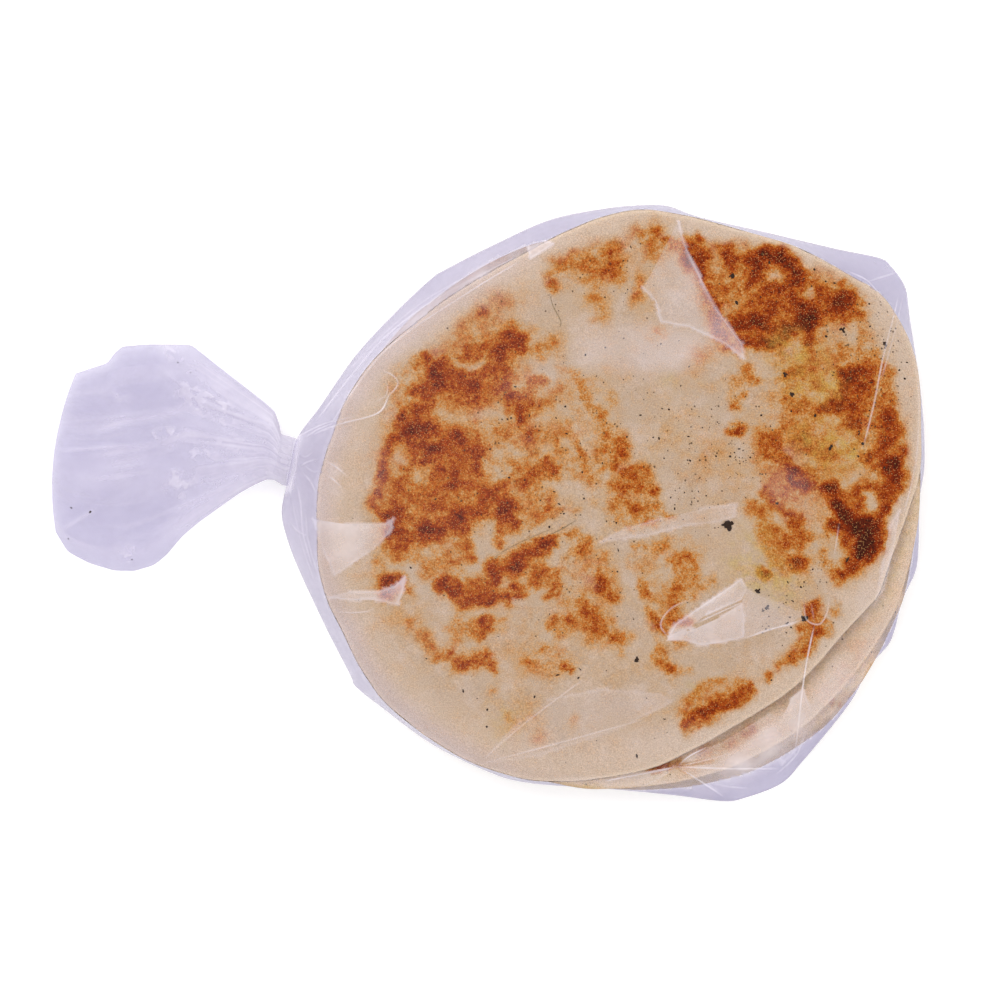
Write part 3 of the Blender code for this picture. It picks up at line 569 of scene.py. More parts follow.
# Crumbs caught between the layers of the fan.
CRUMBS = (
    (-124.8, 56.8, 0.7), (-119.6, 52.8, 0.6), (-167.6, -1.6, 0.8), (-160, -3.2, 1), (-143.2, -22.4, 0.7),
    (-168.8, -14, 0.6),
)
CRUMB_HEIGHT = 6.0
SEAM_LEFT = -82.0
# Flakes over this size have broken bits beside them.
BROKEN_SIZE = 1.6
BROKEN_BITS = 3
BROKEN_SHARE = (0.35, 0.6)
BROKEN_AWAY = 0.45
LEAST_FLAKE = 0.28
FLAKE_RANGE = 0.8
LEAST_FLAKES = 0.05
FLAKE_MARGIN = 4.0
FLAKE_SINK = 0.05
FLAKE_SEED = 5
FLAKE_SIDES = 7
# The rings of a flake, as its height and its width, both as shares of the flake's size.
FLAKE_RINGS = ((0.0, 0.75), (0.0875, 1.0), (0.175, 0.55))
FLAKE_PEAK = 0.2
FLAKE_STRETCH = (0.55, 1.3)
FLAKE_UNEVEN = (0.7, 1.15)
# Dark splits in the top bread: the line and the half width.
CRACKS = (
    (((25, -12), (29, -10.2), (35, -6.6)), 0.17), (((1, -22.5), (8, -17.8), (17, -13.4), (26, -9.6)), 0.09),
    (((24.8, 83.2), (26, 79), (29, 73), (28.6, 70.6)), 0.18),
)
# The three lines of points along a split, as (share of the half width, height over the face).
CRACK_ROWS = ((-1.0, 0.1), (0.0, 0.18), (1.0, 0.1))
CRACK_TAPER = 0.6
CRACK_UNEVEN = 0.35

# Colours are linear. The breads run from pale through tan and brown to burnt.
TOAST_RAMP = (
    (0.00, (0.418, 0.299, 0.209)),
    (0.10, (0.416, 0.280, 0.175)),
    (0.22, (0.422, 0.244, 0.117)),
    (0.36, (0.400, 0.170, 0.043)),
    (0.50, (0.340, 0.092, 0.011)),
    (0.66, (0.232, 0.034, 0.003)),
    (0.82, (0.126, 0.014, 0.002)),
    (1.00, (0.042, 0.008, 0.003)),
)
GREY_COLOUR = (0.378, 0.286, 0.222, 1.0)
FLOUR_COLOUR = (0.474, 0.366, 0.306, 1.0)
RIM_COLOUR = (0.494, 0.380, 0.302, 1.0)
# Painted light: the pale colour that lifts the shade at a rim's edge and under the rim above a lower bread.
SHADE_LIFT_COLOUR = (0.700, 0.560, 0.430, 1.0)
OLIVE_COLOUR = (0.405, 0.278, 0.055, 1.0)
# Painted glints: the colour of small bright flecks that stand in for light catching the toast.
PAINTED_GLINT_COLOUR = (0.740, 0.385, 0.140, 1.0)
PORE_COLOUR = (0.060, 0.035, 0.018, 1.0)
FLAKE_COLOURS = ((0.008, 0.006, 0.007, 1.0), (0.045, 0.022, 0.010, 1.0))
CRACK_COLOURS = ((0.360, 0.260, 0.140, 1.0), (0.090, 0.050, 0.020, 1.0))
FLOOR_COLOURS = ((0.80, 0.80, 0.80, 1.0), (0.78, 0.78, 0.78, 1.0))
WHITE = (1.0, 1.0, 1.0, 1.0)
FILM_TINT = (0.958, 0.944, 0.998, 1.0)
FILM_DULL = (0.228, 0.200, 0.335, 1.0)
# Painted sheen: the pale colour that stands for the film's reflections and glints.
FILM_SHEEN = (0.960, 0.890, 0.960, 1.0)

# Noises of the materials, as (size, detail, roughness).
WASH = (26.0, 4.0, 0.55)
BLOTCH = (6.0, 5.0, 0.62)
GRAIN = (0.9, 3.0, 0.7)
SPECKLE = (0.5, 1.0, 0.55)
GREY_CLOUDS = (17.0, 4.0, 0.6)
FLOUR_CLOUDS = (11.0, 5.0, 0.65)
OLIVE_CLOUDS = (4.0, 4.0, 0.6)
PORE_CLOUDS = (5.0, 3.0, 0.6)
FLAKE_GRAIN = (0.5, 4.0, 0.7)
CRACK_GRAIN = (1.5, 4.0, 0.7)
FLOOR_GRAIN = (60.0, 2.0, 0.55)
FILM_CLOUDS = (12.0, 3.0, 0.5)
FILM_SLACK = (14.0, 1.0, 0.4)
FILM_MOTTLE = (7.0, 4.0, 0.6)

# How the breads' noises and layers turn into colour, as (gain, shift) or as a share.
BLOTCH_BREAKS = (1.4, -0.7)
GRAIN_BREAKS = (1.2, -0.6)
OPEN_GAIN = 2.4
SOLID_FADE = (-1.3, 1.5)
BREAK_SHARE = 0.62
WASH_TOAST = (0.62, -0.26)
BLOTCH_TOAST = (0.58, -0.27)
GRAIN_TOAST = (0.14, -0.07)
GREY_GAIN = (3.0, -1.2)
GREY_LIMIT = 0.75
FLOUR_GAIN = (4.0, -1.95)
FLOUR_LIMIT = 0.8
EDGE_FADE = (-3.0, 1.0)
EDGE_SHARE = 0.75
SHADE_LIFT_SHARE = 0.4
OLIVE_GAIN = (3.4, -1.25)
OLIVE_SHARE = 0.55
SPECKLE_CONTRAST = (2.0, 0.7)
# Painted glints on the toast: cell size, chance as (gain, shift) on the toast level, radius and share.
PAINTED_GLINT_CELLS = 0.55
PAINTED_GLINT_CHANCE = (0.55, 0.03)
PAINTED_GLINT_RADIUS = 0.34
PAINTED_GLINT_SHARE = 0.38
PORE_CELLS = 1.35
PORE_GAIN = (5.0, -2.0)
PORE_CHANCE = 1.1
PORE_RADIUS = (0.26, 0.07)
PORE_SHARE = 0.8
PORE_DEPTH = 0.5
BREAD_ROUGHNESS = (0.3, 0.6)
BREAD_BUMP = 0.55
# Shares of the blotches, the grain and the speckles in that bump.
BUMP_SHARES = (0.6, 0.3, 0.12)

# How much of the film its haze, its painted sheen and a grazing look cover.
SHEEN_MOTTLE = (1.6, 0.2)
HAZE_MOTTLE = (0.12, 0.24)
SHEEN_COVER = 0.28
GRAZING_COVER = 0.1
GRAZING_POWER = 3.0
LEAST_COVER = 0.006

# The setting. Each lamp is its name, its direction from the bag as degrees off the zenith and degrees
# round, and its distance, size and watts. The world is bright near the horizon and dim overhead.
FLOOR_HALF = 4.0
AIM = Vector((0.0488, 0.0016, 0.02))
CAMERA_AT = (0.0048, 0.0016)
CAMERA_LENS = 300.0
CLIP_END = 50.0
VIEW_WIDTH = 0.4
VIEW_LEVEL = 0.024
LAMPS = (
    ("key", 42.0, 125.0, 1.7, (1.3, 1.3), 15.0),
    ("overhead", 20.0, 135.0, 1.9, (1.0, 0.8), 5.0),
    ("fill_right", 60.0, 0.0, 2.0, (1.4, 1.4), 6.0),
    ("fill_front", 60.0, -60.0, 2.0, (1.4, 1.4), 12.0),
)
WORLD_STOPS = ((0.25, (1.15, 1.15, 1.15)), (0.8, (0.55, 0.55, 0.55)))


def smoothstep(low, high, value):
    """Share of the way from low to high, eased at both ends."""
    share = np.clip((value - low) / (high - low), 0.0, 1.0)
    return share * share * (3.0 - 2.0 * share)


def highest(*layers):
    """The largest of several layers at each place."""
    return functools.reduce(np.maximum, layers)


def value_noise(x, y, seed):
    """Smooth noise between -1 and 1 on a lattice one unit apart."""
    lattice = np.random.default_rng(seed).uniform(-1.0, 1.0, (LATTICE, LATTICE))
    i = np.floor(x).astype(int)
    j = np.floor(y).astype(int)
    s = smoothstep(0.0, 1.0, x - i)
    t = smoothstep(0.0, 1.0, y - j)
    corner = [lattice[(i + a) % LATTICE, (j + b) % LATTICE] for a in (0, 1) for b in (0, 1)]
    near = corner[0] * (1.0 - t) + corner[1] * t
    far = corner[2] * (1.0 - t) + corner[3] * t
    return near * (1.0 - s) + far * s


def cloud(x, y, size, seed, octaves=3):
    """Noise between about -1 and 1 whose largest features have the given size."""
    total = 0.0
    for octave in range(octaves):
        scale = 2.0**octave / size
        shift_x, shift_y = (shift * octave for shift in OCTAVE_SHIFT)
        total = total + value_noise(x * scale + shift_x, y * scale + shift_y, seed + octave) / 2.0**octave
    return total / (2.0 - 0.5 ** (octaves - 1))


def through_points(points, count, closed=False):
    """A smooth line of count points through the given points (a Catmull-Rom spline)."""
    points = np.array(points, dtype=float)
    last = len(points) - 1
    spans = last + closed
    along = np.linspace(0.0, spans, count, endpoint=not closed)
    span = np.minimum(along.astype(int), spans - 1)
    t = (along - span)[:, None]
    corner = [span + shift for shift in (-1, 0, 1, 2)]
    corner = [index % len(points) if closed else np.clip(index, 0, last) for index in corner]
    before, start, end, after = (points[index] for index in corner)
    return 0.5 * (
        2.0 * start
        + (end - before) * t
        + (2.0 * before - 5.0 * start + 4.0 * end - after) * t**2
        + (3.0 * start - before - 3.0 * end + after) * t**3
    )


def dense_line(points, closed=False):
    """Points about LINE_STEP apart along straight runs between the given points."""
    points = np.array(points, dtype=float)
    rows = []
    for start, end in zip(points, np.roll(points, -1, axis=0) if closed else points[1:]):
        count = max(int(round(np.hypot(*(end - start)) / LINE_STEP)), 1)
        rows.append(start + (end - start) * np.linspace(0.0, 1.0, count, endpoint=False)[:, None])
    return np.concatenate(rows if closed else rows + [points[-1:]])


def sideways(line):
    """Unit vectors square to a line, one at each of its points."""
    step = np.gradient(line, axis=0)
    return np.stack([-step[:, 1], step[:, 0]], axis=1) / np.hypot(*step.T)[:, None]


def sides(outline):
    """The straight sides of a closed outline, as pairs of ends."""
    return zip(outline, outline[1:] + outline[:1])


def polar(x, y, centre=FILM_CENTRE):
    """Distance and direction of each place from a centre."""
    return np.hypot(x - centre[0], y - centre[1]), np.arctan2(y - centre[1], x - centre[0])


def place_on_rays(distance, angle, centre=FILM_CENTRE):
    return np.stack([centre[0] + distance * np.cos(angle), centre[1] + distance * np.sin(angle)], axis=1)


def reach(outline, centre, angle):
    """Distance from a centre to an outline round it, in the directions of angle."""
    distance, direction = polar(*np.asarray(outline).T, centre)
    return np.interp(angle, direction, distance, period=TURN)


def inside_ring(x, y, angle, distance):
    """How far each place lies inside a ring that is so far from the film's centre at each angle."""
    away, direction = polar(x, y)
    return np.interp(direction, angle, distance, period=TURN) - away


def to_segment(x, y, start, end):
    """Distance to the line from start to end, and how far along it the nearest place is, from 0 to 1."""
    step_x = end[0] - start[0]
    step_y = end[1] - start[1]
    length = max(step_x**2 + step_y**2, 1e-9)
    along = np.clip(((x - start[0]) * step_x + (y - start[1]) * step_y) / length, 0.0, 1.0)
    return np.hypot(x - start[0] - along * step_x, y - start[1] - along * step_y), along


def inside_polygon(x, y, polygon):
    """Whether each place lies in a polygon, by counting crossings."""
    inside = np.zeros(x.shape, dtype=bool)
    for (x0, y0), (x1, y1) in sides(polygon):
        if y0 != y1:
            inside ^= ((y0 > y) != (y1 > y)) & (x < x0 + (y - y0) * (x1 - x0) / (y1 - y0))
    return inside


def stroke_cover(x, y, marks):
    """How strongly brush strokes cover each place."""
    cover = np.zeros_like(x)
    for strength, strokes in marks:
        for places in strokes:
            for start, end in zip(places, places[1:] or places):
                distance, along = to_segment(x, y, start, end)
                width = start[2] + (end[2] - start[2]) * along
                cover = np.maximum(cover, strength * smoothstep(STROKE_EDGE, STROKE_CORE, distance / width))
    return cover


def field_cover(x, y, outline, soft):
    """How far each place lies inside an outline whose edge is soft, from 0 to 1."""
    distances = (to_segment(x, y, start, end)[0] for start, end in sides(outline))
    distance = functools.reduce(np.minimum, distances)
    return smoothstep(-soft, soft, np.where(inside_polygon(x, y, outline), distance, -distance))


def oval_cover(x, y, ovals):
    """How strongly soft ovals cover each place."""
    cover = np.zeros_like(x)
    for middle_x, middle_y, half_x, half_y, turn, strength in ovals:
        cosine = math.cos(math.radians(turn))
        sine = math.sin(math.radians(turn))
        across = ((x - middle_x) * cosine + (y - middle_y) * sine) / half_x
        along = ((y - middle_y) * cosine - (x - middle_x) * sine) / half_y
        cover = np.maximum(cover, strength * smoothstep(OVAL_EDGE, OVAL_CORE, np.hypot(across, along)))
    return cover


def ragged(x, y):
    """The places shifted by noise, so that drawn edges come out ragged."""
    moved_x, moved_y = x, y
    for shift, size, seed in RAGGED:
        moved_x = moved_x + shift * cloud(x, y, size, seed)
        moved_y = moved_y + shift * cloud(x, y, size, seed + 20)
    return moved_x, moved_y


class Bread:
    """One flatbread of the stack: its rim in plan, the heights of its two faces and its toasting."""

    def __init__(self, level):
        self.level = level
        self.is_top = level == len(LOWER_RIMS)
        if self.is_top:
            self.centre = TOP_CENTRE
            self.outline = through_points(TOP_RIM, 12 * len(TOP_RIM), closed=True)
        else:
            x, y, self.radius, self.waves = LOWER_RIMS[level]
            self.centre = (x, y)

    def rim(self, angle):
        """Distance from the middle to the rim in the directions of angle."""
        if self.is_top:
            distance = reach(self.outline, self.centre, angle)
        else:
            distance = self.radius
            for order, part, crest in self.waves:
                distance = distance + self.radius * part * np.cos(order * (angle - math.radians(crest)))
        ripple = sum(np.sin(order * angle + 1.7 * order + self.level) / order for order in RIPPLES)
        return distance + RIPPLE_SIZES[self.is_top] * ripple

    def inside(self, x, y):
        """How far each place lies inside the rim."""
        away, direction = polar(x, y, self.centre)
        return self.rim(direction) - away

    def dome(self, x, y):
        return DOME * (1.0 - (polar(x, y, self.centre)[0] / DOME_RADIUS) ** 2)

    def rounding(self, inside):
        """How far the faces draw in towards the rim's middle, near the rim."""
        half = 0.5 * (THICKNESS - BREAD_GAP)
        depth = np.clip(1.0 - inside / RIM_ROUNDING, 0.0, 1.0)
        slope = RIM_SLOPE * smoothstep(RIM_SLOPE_REACH, 0.0, inside)
        return np.minimum(half * (1.0 - np.sqrt(1.0 - depth**2)) + slope, half)

    def top(self, x, y):
        """Height of the upper face, which ends in the middle of the rim's thickness."""
        inside = self.inside(x, y)
        height = (self.level + 1) * THICKNESS + self.dome(x, y)
        fade = smoothstep(0.0, SWELL_REACH, inside)
        for size, swell, seed in SWELLS:
            height = height + fade * swell * cloud(x, y, size, seed + self.level)
        return height - self.rounding(inside)

    def bottom(self, x, y):
        dome = self.dome(x, y) if self.level else 0.0
        return self.level * THICKNESS + BREAD_GAP + dome + self.rounding(self.inside(x, y))

    def toast(self, x, y):
        """How toasted the upper face is: by strokes where it shows, by soft patches where it is hidden."""
        places = ragged(x, y)
        if self.is_top:
            fields = np.zeros_like(x)
            for strength, soft, outline in TOAST_FIELDS:
                fields = np.maximum(fields, strength * field_cover(*places, outline, soft))
            for share, soft, outline in PALE_HOLES:
                fields = fields * (1.0 - share * field_cover(*places, outline, soft))
            return highest(fields, oval_cover(x, y, GOLDEN_PATCHES), stroke_cover(*places, TOAST))
        hidden = self.hidden_toast(x, y, self.inside(x, y), HIDDEN_OVER)
        tan = LOWER_TAN * (1.0 + 0.8 * cloud(x, y, 16.0, 101 + self.level))
        return highest(stroke_cover(*places, LOWER_TOAST[self.level]), tan, hidden)

    def hidden_toast(self, x, y, inside, patches):
        """Soft toasted patches that set in away from the rim."""
        size, seed, noise, from_rim, strength = patches
        patchy = smoothstep(*noise, cloud(x, y, size, seed + self.level))
        return strength * patchy * smoothstep(*from_rim, inside)


def new_mesh(name, points, faces, attributes=(), domain="POINT"):
    """A smooth mesh object from points in millimetres; attributes are (name, one value a point or corner)."""
    mesh = bpy.data.meshes.new(name)
    mesh.from_pydata(np.asarray(points) * MM, [], faces)
    mesh.update()
    for label, values in attributes:
        layer = mesh.attributes.new(label, "FLOAT", domain)
        layer.data.foreach_set("value", np.asarray(values, dtype=np.float32))
    mesh.shade_smooth()
    piece = bpy.data.objects.new(name, mesh)
    bpy.context.scene.collection.objects.link(piece)
    return piece


def finish_piece(piece, material):
    piece.data.materials.append(material)
    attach(piece, BODY)
    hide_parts(NODE)


def ring_numbers(start, rings, count):
    """Numbers of the points of rings with count points each, from the number start."""
    return list(start + np.arange(rings * count).reshape(rings, count))


def ring_faces(rings, flip=False):
    """Quads between each ring of point numbers and the next."""
    quads = []
    for first, second in zip(rings, rings[1:]):
        quad = np.stack([first, np.roll(first, -1), np.roll(second, -1), second], axis=1)
        quads.append(quad[:, ::-1] if flip else quad)
    return np.concatenate(quads).tolist()


def fan_faces(middle, ring, flip=False):
    """Triangles from a middle point to a ring of point numbers."""
    ends = [ring, np.roll(ring, -1)]
    return np.stack([np.full(len(ring), middle), *(ends[::-1] if flip else ends)], axis=1).tolist()


def bread_layers(bread, above, x, y, inside, toast):
    """What tells the material where it is: each layer's name, its upper side and its under side."""
    pale = 1.0 if bread.is_top else LOWER_PALE
    # Painted light that lifts the shade: at the rim's edge, on its under side and, on a lower bread, under
    # the rim above.
    shade_lift = pale * smoothstep(*SHADE_LIFT_REACH, inside)
    if bread.is_top:
        pores = oval_cover(x, y, PORE_FIELDS)
        olive = stroke_cover(x + 2.0 * cloud(x, y, 8.0, 131), y, OLIVE)
    else:
        over = above.inside(x, y)
        shadow = smoothstep(*SHADOW_REACH, over) * smoothstep(*SHADOW_TOAST, toast)
        shade_lift = np.maximum(shade_lift, SHADOW_STRENGTH * shadow)
        pores = np.full_like(x, LOWER_PORES)
        # Painted shade: an olive tint under the rim above.
        olive = SHADE_OLIVE * smoothstep(*SHADE_OLIVE_REACH, over)
    edge = pale * smoothstep(*EDGE_REACH, inside)
    return (
        ("toast", toast, bread.hidden_toast(x, y, inside, HIDDEN_UNDER)),
        ("edge", edge, edge),
        ("painted_lift", shade_lift, UNDER_SHADE_LIFT * pale * smoothstep(*UNDER_SHADE_LIFT_REACH, inside)),
        ("pores", pores, np.full_like(x, UNDER_PORES)),
        ("olive", olive, np.zeros_like(x)),
    )


def make_bread(breads, level, material):
    """A bread of two domed faces, as rings round its middle that are dense where the rim rounds over."""
    bread = breads[level]
    steps, face_rings, rim_rings = BREAD_MESHES[bread.is_top]
    angle = np.linspace(0.0, TURN, steps, endpoint=False)
    rim = bread.rim(angle)
    share = np.linspace(0.0, 1.0, face_rings + 1)[1:, None]
    depth = RIM_ROUNDING * (1.0 - np.sin(np.linspace(0.0, 0.5 * math.pi, rim_rings + 1)[1:, None]))
    radius = np.concatenate([(rim - RIM_ROUNDING) * share, rim - depth])
    x = bread.centre[0] + radius * np.cos(angle)
    y = bread.centre[1] + radius * np.sin(angle)
    toast = bread.toast(x, y)
    middle = [np.array([value]) for value in bread.centre]
    points = np.concatenate([
        np.stack([x, y, bread.top(x, y) + TOAST_LIFT * toast], axis=2).reshape(-1, 3),
        np.stack([x, y, bread.bottom(x, y)], axis=2)[:-1].reshape(-1, 3),
        np.column_stack([*middle, bread.top(*middle)]),
        np.column_stack([*middle, bread.bottom(*middle)]),
    ])
    upper = ring_numbers(0, len(radius), steps)
    lower = ring_numbers(len(radius) * steps, len(radius) - 1, steps)
    faces = ring_faces(upper, flip=True) + ring_faces(lower + upper[-1:])
    faces += fan_faces(len(points) - 2, upper[0]) + fan_faces(len(points) - 1, lower[0], flip=True)

    above = None if bread.is_top else breads[level + 1]
    attributes = []
    for label, over, under in bread_layers(bread, above, x, y, rim - radius, toast):
        middles = [over[0, 0], under[0, 0]]
        attributes.append((label, np.concatenate([over.ravel(), under[:-1].ravel(), middles])))
    finish_piece(new_mesh(f"bread_{level + 1}", points, faces, attributes), material)


def stack_top(breads, x, y):
    """Height of the highest bread at each place of the plan, or 0 beside the stack."""
    return highest(*(np.where(bread.inside(x, y) > 0.0, bread.top(x, y), 0.0) for bread in breads))


def film_sheet(breads, seam):
    """The film as a tight sheet over the stack, pinned at the seam: grid origin and heights."""
    low = seam.min(axis=0) - SHEET_MARGIN
    high = seam.max(axis=0) + SHEET_MARGIN
    x, y = np.meshgrid(*(np.arange(first, last, SHEET_STEP) for first, last in zip(low, high)), indexing="ij")
    away, direction = polar(x, y)
    free = away < reach(seam, FILM_CENTRE, direction)
    floor = np.where(free, stack_top(breads, x, y) + FILM_GAP, SEAM_HEIGHT)
    sheet = np.maximum(floor, SEAM_HEIGHT)
    for _ in range(SHEET_ROUNDS):
        inner = sheet[:-2, 1:-1] + sheet[2:, 1:-1] + sheet[1:-1, :-2] + sheet[1:-1, 2:]
        sheet[1:-1, 1:-1] = np.maximum(0.25 * inner, floor[1:-1, 1:-1])
        sheet[~free] = SEAM_HEIGHT
    return low, sheet


def cubic_weights(t):
    """Weights of the four neighbours in a smoothing cubic spline."""
    return (
        (1.0 - t) ** 3 / 6.0,
        (3.0 * t**3 - 6.0 * t**2 + 4.0) / 6.0,
        (-3.0 * t**3 + 3.0 * t**2 + 3.0 * t + 1.0) / 6.0,
        t**3 / 6.0,
    )


def read_sheet(low, sheet, x, y):
    """Height of the sheet at a place, by cubic weights on the sixteen nearest points of its grid."""
    i = (x - low[0]) / SHEET_STEP
    j = (y - low[1]) / SHEET_STEP
    i0 = np.floor(i).astype(int)
    j0 = np.floor(j).astype(int)
    total = np.zeros_like(x)
    for a, across in enumerate(cubic_weights(i - i0)):
        for b, along in enumerate(cubic_weights(j - j0)):
            row = np.clip(i0 + a - 1, 0, sheet.shape[0] - 1)
            column = np.clip(j0 + b - 1, 0, sheet.shape[1] - 1)
            total += across * along * sheet[row, column]
    return total


def pocket_rise(x, y, pocket):
    """Height of a facet over the tight film: low at its hinge, steep at its other edges."""
    outline, hinge, slope, _, _ = pocket
    rise = np.full_like(x, POCKET_TOP)
    for index, (start, end) in enumerate(sides(outline)):
        rise = np.minimum(rise, to_segment(x, y, start, end)[0] * (slope if index == hinge else POCKET_EDGE))
    return np.where(inside_polygon(x, y, outline), rise, 0.0)


def pocket_sheen(x, y, pocket):
    """Strength of a facet's painted sheen, graded from the edge that it rises from to the far side."""
    outline, hinge, _, near, far = pocket
    distance, _ = to_segment(x, y, outline[hinge], outline[(hinge + 1) % len(outline)])
    inside = inside_polygon(x, y, outline)
    span = max(distance[inside].max(), 1.0) if inside.any() else 1.0
    return np.where(inside, near + (far - near) * np.clip(distance / span, 0.0, 1.0), 0.0)


def pocket_rims(x, y):
    """How strongly the painted highlight along the standing edges of the facets shows at each place."""
    rims = np.zeros_like(x)
    for outline, hinge, _, _, far in POCKETS:
        for index, (start, end) in enumerate(sides(outline)):
            if index != hinge:
                distance, _ = to_segment(x, y, start, end)
                rims = np.maximum(rims, far * np.clip(1.0 - distance / POCKET_LINE, 0.0, 1.0))
    return rims


def crease_lines():
    """The creases as smooth lines of close points, each with its strength."""
    return [(dense_line(through_points(line, 4 * len(line))), strength) for line, strength in CREASES]


def crease_field(x, y):
    """How high the pinched ridges stand at each place, from 0 to about 1."""
    height = np.zeros_like(x)
    for line, strength in crease_lines():
        length = np.concatenate([[0.0], np.cumsum(np.hypot(*np.diff(line, axis=0).T))])
        low = line.min(axis=0) - 2.0
        high = line.max(axis=0) + 2.0
        near = (x > low[0]) & (x < high[0]) & (y > low[1]) & (y < high[1])
        best = np.zeros(near.sum())
        for index in range(len(line) - 1):
            distance, along = to_segment(x[near], y[near], line[index], line[index + 1])
            place = length[index] + along * (length[index + 1] - length[index])
            taper = np.clip(np.minimum(place, length[-1] - place) / CREASE_TAPER + CREASE_END, 0.0, 1.0)
            best = np.maximum(best, taper * np.clip(1.0 - distance / CREASE_HALF_WIDTH, 0.0, 1.0))
        height[near] = np.maximum(height[near], strength * best)
    return height


def far_from(points, others, clearance):
    """Which points lie at least a clearance away from all the others, found through small cells."""
    cells = {}
    for spot in others:
        cells.setdefault((int(spot[0] // clearance), int(spot[1] // clearance)), []).append(spot)
    steps = [(a, b) for a in (-1, 0, 1) for b in (-1, 0, 1)]
    keep = np.ones(len(points), dtype=bool)
    for index, (x, y) in enumerate(points):
        column = int(x // clearance)
        row = int(y // clearance)
        near = (other for a, b in steps for other in cells.get((column + a, row + b), ()))
        keep[index] = all((x - other[0]) ** 2 + (y - other[1]) ** 2 >= clearance**2 for other in near)
    return keep


def film_plan(seam_ring, top_bread):
    """Points and edges of the film in plan: an even grid, rings at rim and seam, creases and pockets."""
    lines = []
    for line, _ in crease_lines():
        for offset in (0.0, CREASE_HALF_WIDTH, -CREASE_HALF_WIDTH):
            lines.append((line + offset * sideways(line), False))
    lines.extend((dense_line(pocket[0], closed=True), True) for pocket in POCKETS)

    seam_reach, angle = polar(*seam_ring.T)
    rim_reach = reach(place_on_rays(top_bread.rim(angle), angle, top_bread.centre), FILM_CENTRE, angle)
    rings = []
    for offset in RIM_RINGS:
        keep = rim_reach + offset < seam_reach - RING_CLEARANCE * 0.5
        rings.append(place_on_rays(rim_reach + offset, angle)[keep])
    for offset in SEAM_RINGS:
        keep = seam_reach - offset > rim_reach + RIM_RINGS[-1] + RING_CLEARANCE
        rings.append(place_on_rays(seam_reach - offset, angle)[keep])

    low = seam_ring.min(axis=0)
    high = seam_ring.max(axis=0)
    grid = []
    for index, y in enumerate(np.arange(low[1], high[1], PLAN_STEP * math.sqrt(0.75))):
        x = np.arange(low[0] + 0.5 * PLAN_STEP * (index % 2), high[0], PLAN_STEP)
        grid.append(np.column_stack([x, np.full(len(x), y)]))
    grid = np.concatenate(grid)
    past_rim = -inside_ring(*grid.T, angle, rim_reach)
    clear = inside_ring(*grid.T, angle, seam_reach) > SEAM_RINGS[-1] + RING_CLEARANCE
    clear &= (past_rim < RIM_RINGS[0] - RING_CLEARANCE) | (past_rim > RIM_RINGS[-1] + RING_CLEARANCE)
    free = np.concatenate([grid[clear], *rings])
    free = free[far_from(free, np.concatenate([line for line, _ in lines]), RING_CLEARANCE)]

    points = [seam_ring, free]
    start = len(seam_ring) + len(free)
    edges = [(index, (index + 1) % len(seam_ring)) for index in range(len(seam_ring))]
    for line, closed in lines:
        last = len(line) if closed else len(line) - 1
        edges.extend((start + index, start + (index + 1) % len(line)) for index in range(last))
        points.append(line)
        start += len(line)
    return np.concatenate(points), edges


def film_relief(x, y):
    """Folds that fan out from the neck."""
    distance, direction = polar(x, y, NECK_POINT)
    wobble = NECK_WOBBLE * value_noise(direction * 5.0 + 20.0, distance * 0.05, 141)
    height = NECK_RELIEF * distance * np.exp(-distance / NECK_REACH)
    return height * np.cos(NECK_FOLDS * (direction + wobble))


def joint_clearness(x, y):
    """Share of the haze that is left near the joint with the neck, where two films overlap."""
    return 1.0 - JOINT_CLEAR * smoothstep(*JOINT_REACH, to_segment(x, y, *NECK_JOINT)[0])


def film_looks(x, y, gap, breads_top, inside_top, crease):
    """Painted sheen and haze of the film's upper side at each place."""
    neck = smoothstep(*NECK_ZONE, x)
    left = smoothstep(*LEFT_ZONE, x)
    near_rim = smoothstep(*OUTSIDE_RIM, inside_top) * smoothstep(*INSIDE_RIM, inside_top) * left
    to_rim = smoothstep(*TO_RIM, inside_top) * left
    ledge = (1.0 - left) * smoothstep(*OVER_LEDGE, inside_top) * (breads_top > 0.0)
    # Painted sheen: reflections on facets and bands, glints along creases and facet edges, a paler neck, and
    # painted light over the shade near the rims, in the gaps and over the lower breads.
    painted_sheen = highest(
        oval_cover(x, y, SHEEN_BANDS),
        SHEEN_ON_LINES * crease,
        SHEEN_ON_LINES * pocket_rims(x, y),
        SHEEN_AT_NECK * neck,
        SHEEN_OVER_RIM * to_rim * (inside_top > 0.0),
        SHEEN_NEAR_RIM * near_rim,
        SHEEN_OVER_GAP * left * (inside_top < 0.0) * smoothstep(0.0, 9.0, breads_top),
        SHEEN_AT_RIM * left * smoothstep(2.2, 0.4, np.abs(inside_top + 0.4)),
        SHEEN_OVER_LEFT * smoothstep(*FAR_LEFT_ZONE, x) * smoothstep(*FROM_RIM, inside_top),
        SHEEN_OVER_LEDGE * ledge,
    )
    # Painted shade: the haze beside the stack thickens towards the right and the low side; painted light
    # thins it near the top bread's rim.
    beside = HAZE_BESIDE + PAINTED_SHADE_RIGHT * smoothstep(*RIGHT_ZONE, x) * smoothstep(*LOWER_ZONE, y)
    beside = beside + PAINTED_SHADE_LOW * smoothstep(*LOWEST_ZONE, y)
    beside = beside * (HAZE_BESIDE_SHARE - HAZE_LOST_AT_NECK * neck - PAINTED_LIGHT_AT_RIM * near_rim)
    over = (HAZE_OVER_BREAD + (HAZE_OVER_GAP - HAZE_OVER_BREAD) * left) * smoothstep(*HAZY_GAP, gap)
    haze = np.where(breads_top > 0.0, np.maximum(over, HAZE_OVER_RIM * to_rim), beside)
    return painted_sheen, haze * joint_clearness(x, y)


